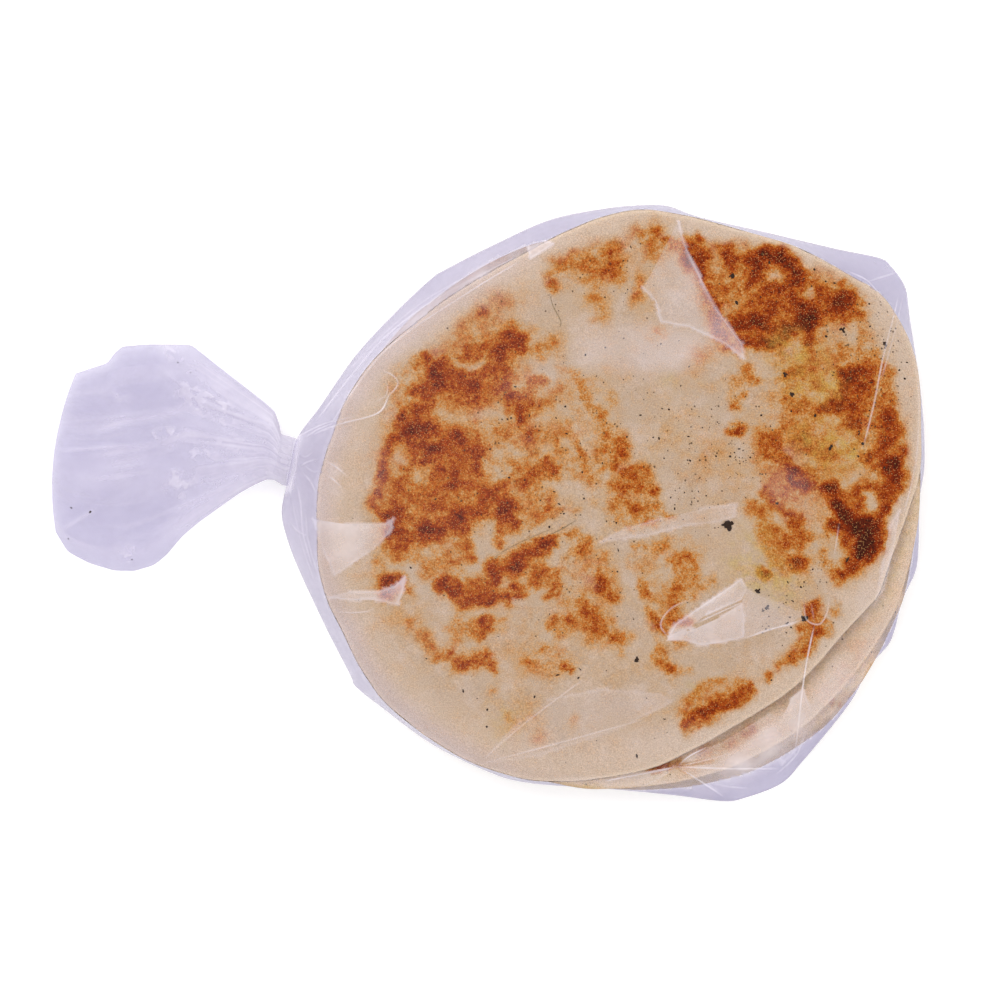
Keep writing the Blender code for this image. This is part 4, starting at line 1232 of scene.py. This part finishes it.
def film_under_rings(angle, seam_reach):
    """Rings of the film's under side, from the seam down round the lowest bread and in to the centre."""
    base = Bread(0)
    base_rim = place_on_rays(base.rim(angle), angle, base.centre)
    base_reach = np.minimum(reach(base_rim, FILM_CENTRE, angle) - BASE_INSET, seam_reach - LEAST_RISE)
    rings = []
    for share in np.linspace(1.0, 0.0, SIDE_RINGS + 1)[1:]:
        rings.append((base_reach + (seam_reach - base_reach) * share, SEAM_HEIGHT * share**RISE_CURVE))
    for share in np.linspace(1.0, 0.0, BASE_RINGS + 2)[1:-1]:
        rings.append((base_reach * share, 0.0))
    return [
        np.column_stack([place_on_rays(radius, angle), np.full(len(angle), max(height, FLOOR_GAP))])
        for radius, height in rings
    ]


def make_film_body(breads, material):
    """The film round the stack: a tight sheet with facets and creases, and a plain under side."""
    angle = np.linspace(0.0, TURN, RING_STEPS, endpoint=False)
    seam = through_points(SEAM, 12 * len(SEAM), closed=True)
    seam_reach = reach(seam, FILM_CENTRE, angle)
    low, sheet = film_sheet(breads, seam)
    plan, edges = film_plan(place_on_rays(seam_reach, angle), breads[-1])
    spots = [Vector(spot) for spot in plan.tolist()]
    verts, _, triangles, origins, _, _ = delaunay_2d_cdt(spots, edges, [], 0, 1e-4)
    x, y = np.array(verts).T
    triangles = np.array(triangles)
    middle_x, middle_y = (part[triangles].mean(axis=1) for part in (x, y))
    kept = inside_ring(middle_x, middle_y, angle, seam_reach) > 0.0
    triangles = triangles[kept]
    facet_sheen = highest(*(pocket_sheen(middle_x[kept], middle_y[kept], pocket) for pocket in POCKETS))
    seam_numbers = np.full(RING_STEPS, -1)
    for index, sources in enumerate(origins):
        for source in sources:
            if source < RING_STEPS:
                seam_numbers[source] = index

    to_seam = inside_ring(x, y, angle, seam_reach)
    rise = highest(*(pocket_rise(x, y, pocket) for pocket in POCKETS))
    crease = crease_field(x, y)
    height = read_sheet(low, sheet, x, y) + smoothstep(0.0, SEAM_REACH, to_seam) * (rise + film_relief(x, y))
    breads_top = stack_top(breads, x, y)
    height = np.maximum(height + CREASE_HEIGHT * crease, breads_top + 0.6 * FILM_GAP)
    height = np.where(to_seam < 0.05, SEAM_HEIGHT, np.maximum(height, SEAM_HEIGHT + SEAM_LIP))
    gap = np.where(breads_top > 0.0, height - breads_top, OPEN_GAP)
    painted_sheen, haze = film_looks(x, y, gap, breads_top, breads[-1].inside(x, y), crease)

    under = film_under_rings(angle, seam_reach)
    points = np.concatenate([np.column_stack([x, y, height]), *under, [[*FILM_CENTRE, FLOOR_GAP]]])
    rings = ring_numbers(len(x), len(under), RING_STEPS)
    under_faces = ring_faces([seam_numbers, *rings], flip=True)
    under_faces += fan_faces(len(points) - 1, rings[-1], flip=True)
    corners = np.concatenate(under_faces)
    painted_sheen = np.concatenate([np.maximum(painted_sheen[triangles], facet_sheen[:, None]).ravel(), np.zeros(len(corners))])
    haze_under = HAZE_UNDER * joint_clearness(points[:, 0], points[:, 1])
    haze = np.concatenate([haze[triangles].ravel(), haze_under[corners]])
    attributes = (("painted_sheen", painted_sheen), ("haze", haze))
    piece = new_mesh("film_body", points, triangles.tolist() + under_faces, attributes, "CORNER")
    finish_piece(piece, material)


def zigzag(value):
    """A wave of straight runs between -1 and 1, with one wave a turn."""
    return 2.0 * np.abs(2.0 * ((value / TURN) % 1.0) - 1.0) - 1.0


def polyline(points, count):
    """Count points along straight runs between the given points, with slightly rounded corners."""
    points = np.array(points, dtype=float)
    along = np.linspace(0.0, len(points) - 1.0, count)
    line = np.column_stack([np.interp(along, np.arange(len(points)), part) for part in points.T])
    for _ in range(6):
        line[1:-1] = 0.25 * line[:-2] + 0.5 * line[1:-1] + 0.25 * line[2:]
    return line


def facets(x, y, size, seed):
    """Crumpled facets: the lightness of each one and a line where two meet, both used for painted glints, and
    each one's slant.
    """
    bend_x, bend_y = (FACET_BEND * cloud(x, y, BEND_SIZE, seed + shift, octaves=2) for shift in (3, 7))
    across = (0.8 * x - 0.6 * y + bend_x) / size
    along = (2.0 * (0.6 * x + 0.8 * y) + bend_y) / size
    table = np.random.default_rng(seed).uniform(0.0, 1.0, (LATTICE, LATTICE, 3))
    nearest, second = np.full((2, *x.shape), 9.0)
    lightness = np.zeros_like(x)
    for step_across in (-1, 0, 1):
        for step_along in (-1, 0, 1):
            column = np.floor(across).astype(int) + step_across
            row = np.floor(along).astype(int) + step_along
            part = table[column % LATTICE, row % LATTICE]
            distance = np.hypot(column + part[..., 0] - across, row + part[..., 1] - along)
            closer = distance < nearest
            second = np.where(closer, nearest, np.minimum(second, distance))
            nearest = np.where(closer, distance, nearest)
            lightness = np.where(closer, part[..., 2], lightness)
    line = smoothstep(0.1, 0.0, second - nearest) * lightness
    return smoothstep(0.3, 1.0, lightness), line, nearest * (lightness - 0.5)


def make_film_tail(material):
    """Two layers of film from the gathered neck to the open mouth, pleated along and crinkled."""
    upper, lower = (polyline([line[end] for line in TAIL_LINES], TAIL_SECTIONS) for end in (0, 1))
    share = np.linspace(0.0, 1.0, TAIL_STEPS + 1)
    across = 0.5 * (0.5 - 0.5 * np.cos(math.pi * share)) + 0.5 * share
    along = np.linspace(0.0, 1.0, TAIL_SECTIONS)[:, None]
    lens = np.sqrt(np.maximum(1.0 - (2.0 * across - 1.0) ** 2, 0.0))
    spread = np.clip((along - NECK_SHARE) / FAN_SHARE, 0.0, 1.0)
    gathered = 1.0 - spread
    x, y = (upper[:, k : k + 1] + (lower[:, k : k + 1] - upper[:, k : k + 1]) * across for k in (0, 1))
    x = x - MOUTH_BOW * along**4 * lens**2

    wave = sum(size * np.sin(TURN * waves * across + phase) for waves, size, phase in TAIL_WAVES)
    middle = NECK_HEIGHT + (MOUTH_HEIGHT - NECK_HEIGHT) * spread + spread * lens * wave
    slip = 0.5 * value_noise(across * 9.0, along * 5.0, 151)
    pleat = sum(size * zigzag(TURN * waves * across + phase + slip) for waves, size, phase in TAIL_PLEATS)
    crinkled = oval_cover(x, y, TAIL_CRINKLES)
    glint, border, slant = facets(x, y, FACET_SIZE, 171)
    wrinkle_glints = (GLINT * glint + BORDER * border) * np.maximum(crinkled, 0.4 * gathered * lens + 0.06)
    folds = np.zeros_like(x)
    for start, end, strength in TAIL_CREASES:
        distance, place = to_segment(x, y, start, end)
        fold = strength * smoothstep(FOLD_WIDTH, 0.0, distance) * np.sin(math.pi * place) ** 0.5
        folds = np.maximum(folds, fold)
    crumple = np.abs(cloud(x, y, 22.0, 161, octaves=2))
    relief = pleat * (FAN_PLEAT + NECK_PLEAT * gathered)
    relief = relief + spread * (FOLD_HEIGHT * folds - CRUMPLE_DEPTH * crumple)
    relief = lens * (relief + FACET_HEIGHT * slant * np.maximum(crinkled, 0.5 * gathered))
    gather = 1.0 + NECK_PLEAT_SHARE * gathered * zigzag(TURN * NECK_PLEATS * across)
    thickness = NECK_THICKNESS + (TAIL_THICKNESS - NECK_THICKNESS) * spread
    half = 0.5 * (EDGE_THICKNESS + thickness * lens * gather)
    slack = TAIL_SLACK * np.abs(cloud(x + 40.0, y, 8.0, 181, octaves=2)) * spread * lens
    bottom = np.maximum(middle - half + 0.5 * relief - slack, TAIL_FLOOR)
    top = np.maximum(middle + half + relief, bottom + LEAST_THICKNESS)

    streak = smoothstep(0.1, 0.8, value_noise(across * 60.0, along * 4.0, 191))
    band = smoothstep(-0.1, 0.9, value_noise(across * 15.0, along * 2.6, 201)) * smoothstep(0.1, 0.4, lens)
    # Painted sheen: glints on the crinkles, folds and streaks, and a paler gathered neck.
    sheen_top = highest(
        SHEEN_ON_WRINKLES * wrinkle_glints,
        SHEEN_ON_FOLDS * folds,
        SHEEN_IN_CRINKLES * crinkled,
        SHEEN_ON_STREAKS * streak + SHEEN_ON_BANDS * band,
    )
    sheen_top = sheen_top + SHEEN_GATHERED * gathered
    hidden = np.broadcast_to(smoothstep(0.0, TAIL_FADE, along), x.shape)

    sheen_under = SHEEN_UNDER * streak
    layers = ((x, x), (y, y), (top, bottom), (hidden * sheen_top, hidden * sheen_under), (hidden, hidden))
    loops = [np.concatenate([over, under[:, ::-1]], axis=1) for over, under in layers]
    points = np.stack(loops[:3], axis=2).reshape(-1, 3)
    faces = ring_faces(ring_numbers(0, TAIL_SECTIONS, 2 * (TAIL_STEPS + 1)))
    attributes = (("painted_sheen", loops[3].ravel()), ("haze", TAIL_HAZE * loops[4].ravel()))
    finish_piece(new_mesh("film_tail", points, faces, attributes), material)


def lump(place, size, generator):
    """Points and faces of one small rough flake."""
    stretch = generator.uniform(*FLAKE_STRETCH)
    turn = generator.uniform(0.0, TURN)
    angle = np.linspace(0.0, TURN, FLAKE_SIDES, endpoint=False)
    points = []
    for level, share in FLAKE_RINGS:
        radius = 0.5 * size * share * generator.uniform(*FLAKE_UNEVEN, FLAKE_SIDES)
        across = radius * np.cos(angle) * stretch
        along = radius * np.sin(angle) / stretch
        points.append(np.column_stack([
            place[0] + across * math.cos(turn) - along * math.sin(turn),
            place[1] + across * math.sin(turn) + along * math.cos(turn),
            np.full(FLAKE_SIDES, place[2] + level * size),
        ]))
    points.append([[place[0], place[1], place[2] + FLAKE_PEAK * size]])
    rings = ring_numbers(0, len(FLAKE_RINGS), FLAKE_SIDES)
    faces = [rings[0][::-1].tolist()] + ring_faces(rings)
    return np.concatenate(points), faces + fan_faces(len(FLAKE_RINGS) * FLAKE_SIDES, rings[-1])


def flake_places(top_bread, generator):
    """Place and size of every flake: the large ones with their broken bits, then the fine ones."""
    places = []
    for x, y, size in FLAKES:
        places.append((x, y, size))
        if size > BROKEN_SIZE:
            for _ in range(BROKEN_BITS):
                turn = generator.uniform(0.0, TURN)
                part = size * generator.uniform(*BROKEN_SHARE)
                away = BROKEN_AWAY * size
                places.append((x + away * math.cos(turn), y + away * math.sin(turn), part))
    count = len(places) + FINE_FLAKES
    while len(places) < count:
        x, y = generator.uniform(*FINE_FLAKES_BOX)
        spot = (np.array([x]), np.array([y]))
        wanted = LEAST_FLAKES + oval_cover(*spot, PORE_FIELDS)[0]
        if top_bread.inside(*spot)[0] > FLAKE_MARGIN and generator.uniform() < wanted:
            places.append((x, y, LEAST_FLAKE + FLAKE_RANGE * generator.uniform() ** 3.0))
    return places


def make_flakes(breads, material):
    """Burnt flakes and specks that lie on the top bread, and crumbs in the fan."""
    generator = np.random.default_rng(FLAKE_SEED)
    points, faces = [], []
    for x, y, size in flake_places(breads[-1], generator) + list(CRUMBS):
        on_bread = breads[-1].top(np.array([x]), np.array([y]))[0] - FLAKE_SINK
        height = CRUMB_HEIGHT if x < SEAM_LEFT else on_bread
        some_points, some_faces = lump((x, y, height), size, generator)
        faces.extend([len(points) + index for index in face] for face in some_faces)
        points.extend(some_points)
    piece = new_mesh("char_flakes", points, faces)
    piece.data.shade_flat()
    finish_piece(piece, material)


def make_cracks(breads, material):
    """Thin dark splits in the top bread's crust, as tapered strips that lie just over its face."""
    points, faces = [], []
    for line, half_width in CRACKS:
        count = 12 * len(line)
        line = through_points(line, count)
        taper = np.sin(np.linspace(0.02, math.pi - 0.02, count))[:, None] ** CRACK_TAPER
        uneven = 1.0 + CRACK_UNEVEN * value_noise(np.arange(count) * 0.7, np.zeros(count), 221)[:, None]
        numbers = ring_numbers(len(points), len(CRACK_ROWS), count)
        for offset, lift in CRACK_ROWS:
            row = line + offset * half_width * taper * uneven * sideways(line)
            points.extend(np.column_stack([row, breads[-1].top(*row.T) + lift]))
        for first, second in zip(numbers, numbers[1:]):
            faces.extend(np.stack([first[:-1], first[1:], second[1:], second[:-1]], axis=1).tolist())
    finish_piece(new_mesh("bread_cracks", points, faces), material)


class Nodes:
    """Short names for adding and joining the shader nodes of a material or a world."""

    def __init__(self, owner):
        owner.use_nodes = True
        self.owner = owner
        self.tree = owner.node_tree
        self.tree.nodes.clear()

    def add(self, kind, inputs, **settings):
        """A node with its settings, and each input set to a plain value or linked to an output."""
        node = self.tree.nodes.new(kind)
        for label, value in settings.items():
            setattr(node, label, value)
        for label, value in inputs.items():
            if isinstance(value, bpy.types.NodeSocket):
                self.tree.links.new(value, node.inputs[label])
            else:
                node.inputs[label].default_value = value
        return node

    def math(self, operation, *values, clamp=False):
        node = self.add("ShaderNodeMath", dict(enumerate(values)), operation=operation, use_clamp=clamp)
        return node.outputs[0]

    def plus(self, first, second, clamp=False):
        return self.math("ADD", first, second, clamp=clamp)

    def times(self, first, second, clamp=False):
        return self.math("MULTIPLY", first, second, clamp=clamp)

    def line(self, value, gain, shift, clamp=False):
        """The value times a gain, plus a shift."""
        return self.math("MULTIPLY_ADD", value, gain, shift, clamp=clamp)

    def mix(self, share, first, second):
        return self.add("ShaderNodeMix", {0: share, 6: first, 7: second}, data_type="RGBA").outputs[2]

    def attribute(self, name):
        return self.add("ShaderNodeAttribute", {}, attribute_name=name).outputs["Fac"]

    def place(self, kind="Object"):
        return self.add("ShaderNodeTexCoord", {}).outputs[kind]

    def noise(self, size, detail, roughness):
        """Noise whose features have the given size in millimetres."""
        scale = 1.0 / (size * MM)
        inputs = {"Vector": self.place(), "Scale": scale, "Detail": detail, "Roughness": roughness}
        return self.add("ShaderNodeTexNoise", inputs).outputs["Fac"]

    def cells(self, size):
        """Cells about as wide as the given size: two random values for each, and how far its middle is."""
        node = self.add("ShaderNodeTexVoronoi", {"Vector": self.place(), "Scale": 1.0 / (size * MM)})
        parts = self.add("ShaderNodeSeparateColor", {0: node.outputs["Color"]}).outputs
        return parts[0], parts[1], node.outputs["Distance"]

    def ramp(self, value, stops):
        node = self.add("ShaderNodeValToRGB", {0: value})
        elements = node.color_ramp.elements
        for element, (position, colour) in zip(elements, (stops[0], stops[-1])):
            element.position = position
            element.color = (*colour, 1.0)
        for position, colour in stops[1:-1]:
            elements.new(position).color = (*colour, 1.0)
        return node.outputs[0]

    def bump(self, height, distance):
        inputs = {"Height": height, "Distance": distance * MM, "Strength": 1.0}
        return self.add("ShaderNodeBump", inputs).outputs[0]

    def principled(self, inputs):
        return self.add("ShaderNodeBsdfPrincipled", inputs).outputs[0]

    def surface(self, shader, kind="ShaderNodeOutputMaterial"):
        self.add(kind, {"Surface": shader})
        return self.owner


def new_nodes(name):
    return Nodes(bpy.data.materials.new(name))


def bread_material():
    """Pale dough with toasted patches, a paler rim, olive stains and fine dark pores, with painted light that
    lifts the shade at the rims, an olive tint painted into the shade under an upper rim, and painted glints.
    """
    nodes = new_nodes("toasted_bread")
    toast = nodes.attribute("toast")
    wash, blotch, grain, speckle = (nodes.noise(*noise) for noise in (WASH, BLOTCH, GRAIN, SPECKLE))
    open_share = nodes.times(toast, OPEN_GAIN, clamp=True)
    solid = nodes.line(toast, *SOLID_FADE, clamp=True)
    broken = nodes.plus(nodes.line(blotch, *BLOTCH_BREAKS), nodes.line(grain, *GRAIN_BREAKS))
    broken = nodes.times(broken, nodes.times(open_share, solid))
    level = nodes.line(broken, BREAK_SHARE, toast)
    level = nodes.plus(level, nodes.line(wash, *WASH_TOAST))
    level = nodes.plus(level, nodes.line(blotch, *BLOTCH_TOAST))
    level = nodes.plus(level, nodes.line(grain, *GRAIN_TOAST), clamp=True)
    colour = nodes.ramp(level, TOAST_RAMP)
    for clouds, gain, limit, tone in (
        (GREY_CLOUDS, GREY_GAIN, GREY_LIMIT, GREY_COLOUR),
        (FLOUR_CLOUDS, FLOUR_GAIN, FLOUR_LIMIT, FLOUR_COLOUR),
    ):
        share = nodes.line(nodes.noise(*clouds), *gain, clamp=True)
        share = nodes.times(share, nodes.math("SUBTRACT", limit, open_share, clamp=True))
        colour = nodes.mix(share, colour, tone)

    edge = nodes.times(nodes.attribute("edge"), nodes.line(toast, *EDGE_FADE, clamp=True))
    colour = nodes.mix(nodes.times(edge, EDGE_SHARE), colour, RIM_COLOUR)
    # Painted light: a pale colour that lifts the shade at the rims and under the rim above a lower bread.
    colour = nodes.mix(nodes.times(nodes.attribute("painted_lift"), SHADE_LIFT_SHARE), colour, SHADE_LIFT_COLOUR)
    # Olive stains on the top bread; on a lower bread the same tint is painted shade under the rim above.
    patchy = nodes.line(nodes.noise(*OLIVE_CLOUDS), *OLIVE_GAIN, clamp=True)
    olive = nodes.times(nodes.attribute("olive"), patchy)
    colour = nodes.mix(nodes.times(olive, OLIVE_SHARE), colour, OLIVE_COLOUR)
    contrast = nodes.line(level, *SPECKLE_CONTRAST)
    shade = nodes.line(nodes.math("SUBTRACT", speckle, 0.5), contrast, 1.0)
    colour = nodes.add("ShaderNodeVectorMath", {0: colour, "Scale": shade}, operation="SCALE").outputs[0]
    # Painted glints: small bright flecks, more of them the more toasted the place.
    chance, _, away = nodes.cells(PAINTED_GLINT_CELLS)
    painted_glint = nodes.math("LESS_THAN", chance, nodes.line(level, *PAINTED_GLINT_CHANCE))
    painted_glint = nodes.times(painted_glint, nodes.math("LESS_THAN", away, PAINTED_GLINT_RADIUS))
    colour = nodes.mix(nodes.times(painted_glint, PAINTED_GLINT_SHARE), colour, PAINTED_GLINT_COLOUR)

    chance, size, away = nodes.cells(PORE_CELLS)
    clump = nodes.line(nodes.noise(*PORE_CLOUDS), *PORE_GAIN, clamp=True)
    wanted = nodes.times(nodes.times(nodes.attribute("pores"), clump), PORE_CHANCE)
    pore = nodes.math("LESS_THAN", away, nodes.line(nodes.times(size, size), *PORE_RADIUS))
    pore = nodes.times(nodes.math("LESS_THAN", chance, wanted), pore)
    colour = nodes.mix(nodes.times(pore, PORE_SHARE), colour, PORE_COLOUR)

    height = nodes.times(pore, -PORE_DEPTH)
    for noise, share in zip((blotch, grain, speckle), BUMP_SHARES):
        height = nodes.line(noise, share, height)
    return nodes.surface(nodes.principled({
        "Base Color": colour,
        "Roughness": nodes.line(grain, *BREAD_ROUGHNESS),
        "Normal": nodes.bump(height, BREAD_BUMP),
        "Specular IOR Level": 0.03,
        "Subsurface Weight": 0.06,
        "Subsurface Radius": (1.0, 0.5, 0.25),
        "Subsurface Scale": 1.2 * MM,
    }))


def grain_material(name, noise, colours, inputs, bump=None, roughness=None):
    """A material of two tones mixed by one noise, which may also drive its roughness and its bump."""
    nodes = new_nodes(name)
    grain = nodes.noise(*noise)
    inputs = {"Base Color": nodes.mix(grain, *colours), **inputs}
    if roughness:
        inputs["Roughness"] = nodes.line(grain, *roughness)
    if bump:
        inputs["Normal"] = nodes.bump(grain, bump)
    return nodes.surface(nodes.principled(inputs))


def flake_material():
    """Burnt black crumb with a broken, faintly shiny surface."""
    inputs = {"Specular IOR Level": 0.1}
    return grain_material("burnt_flake", FLAKE_GRAIN, FLAKE_COLOURS, inputs, bump=0.2, roughness=(0.3, 0.35))


def crack_material():
    """Dull brown inside of a split, darker here and there."""
    return grain_material("bread_split", CRACK_GRAIN, CRACK_COLOURS, {"Roughness": 0.8}, bump=0.3)


def floor_material():
    inputs = {"Roughness": 0.9, "Specular IOR Level": 0.1, "Emission Color": WHITE, "Emission Strength": 0.36}
    return grain_material("pale_floor", FLOOR_GRAIN, FLOOR_COLOURS, inputs)


def film_material():
    """Thin clear film: see-through, lavender, hazy where it stands off the bread and pale with painted sheen
    on its facets.
    """
    nodes = new_nodes("clear_film")
    haze = nodes.attribute("haze")
    painted_sheen = nodes.times(nodes.attribute("painted_sheen"), nodes.line(nodes.noise(*FILM_CLOUDS), *SHEEN_MOTTLE))
    facing = nodes.add("ShaderNodeLayerWeight", {"Blend": 0.5}).outputs["Facing"]
    grazing = nodes.times(nodes.math("POWER", facing, GRAZING_POWER), nodes.times(haze, 2.0, clamp=True))
    mottled = nodes.line(nodes.noise(*FILM_MOTTLE), *HAZE_MOTTLE)
    cover = nodes.line(haze, mottled, LEAST_COVER)
    cover = nodes.line(painted_sheen, SHEEN_COVER, cover)
    cover = nodes.line(grazing, GRAZING_COVER, cover)
    tint = nodes.mix(nodes.times(haze, 3.0, clamp=True), WHITE, FILM_TINT)
    clear = nodes.add("ShaderNodeBsdfTransparent", {"Color": tint}).outputs[0]
    # The share of the pale colour follows the painted sheen.
    pale = nodes.math("DIVIDE", painted_sheen, nodes.plus(nodes.plus(painted_sheen, haze), 0.02))
    milky_and_sheen = nodes.principled({
        "Base Color": nodes.mix(pale, FILM_DULL, FILM_SHEEN),
        "Roughness": 0.3,
        "IOR": 1.7,
        "Normal": nodes.bump(nodes.noise(*FILM_SLACK), 0.4),
    })
    return nodes.surface(nodes.add("ShaderNodeMixShader", {0: cover, 1: clear, 2: milky_and_sheen}).outputs[0])


def make_floor():
    mesh = bpy.data.meshes.new("floor")
    corners = [(-1, -1), (1, -1), (1, 1), (-1, 1)]
    mesh.from_pydata([(FLOOR_HALF * x, FLOOR_HALF * y, 0.0) for x, y in corners], [], [(0, 1, 2, 3)])
    floor = bpy.data.objects.new("floor", mesh)
    bpy.context.scene.collection.objects.link(floor)
    mesh.materials.append(floor_material())


def make_lamps():
    for name, tilt, turn, distance, size, watts in LAMPS:
        data = bpy.data.lights.new(name, "AREA")
        data.shape = "RECTANGLE"
        data.size, data.size_y = size
        data.energy = watts
        tilt = math.radians(tilt)
        turn = math.radians(turn)
        direction = Vector((math.sin(tilt) * math.cos(turn), math.sin(tilt) * math.sin(turn), math.cos(tilt)))
        lamp = bpy.data.objects.new(name, data)
        lamp.location = AIM + distance * direction
        lamp.rotation_euler = (AIM - lamp.location).to_track_quat("-Z", "Y").to_euler()
        bpy.context.scene.collection.objects.link(lamp)


def make_world():
    world = bpy.data.worlds.new("studio")
    bpy.context.scene.world = world
    nodes = Nodes(world)
    direction = nodes.add("ShaderNodeSeparateXYZ", {0: nodes.place("Generated")})
    sky = nodes.ramp(direction.outputs["Z"], WORLD_STOPS)
    nodes.surface(nodes.add("ShaderNodeBackground", {"Color": sky}).outputs[0], "ShaderNodeOutputWorld")


def make_camera():
    data = bpy.data.cameras.new("camera")
    data.lens = CAMERA_LENS
    data.clip_end = CLIP_END
    camera = bpy.data.objects.new("camera", data)
    distance = CAMERA_LENS / data.sensor_width * VIEW_WIDTH
    camera.location = (*CAMERA_AT, VIEW_LEVEL + distance)
    bpy.context.scene.collection.objects.link(camera)
    bpy.context.scene.camera = camera


def main():
    breads = [Bread(level) for level in range(len(LOWER_RIMS) + 1)]
    toasted = bread_material()
    film = film_material()
    for level in range(len(breads)):
        make_bread(breads, level, toasted)
    make_flakes(breads, flake_material())
    make_cracks(breads, crack_material())
    make_film_body(breads, film)
    make_film_tail(film)
    make_floor()
    make_lamps()
    make_world()
    make_camera()
    bpy.context.scene.view_settings.view_transform = "Standard"
    bpy.context.view_layer.update()


main()
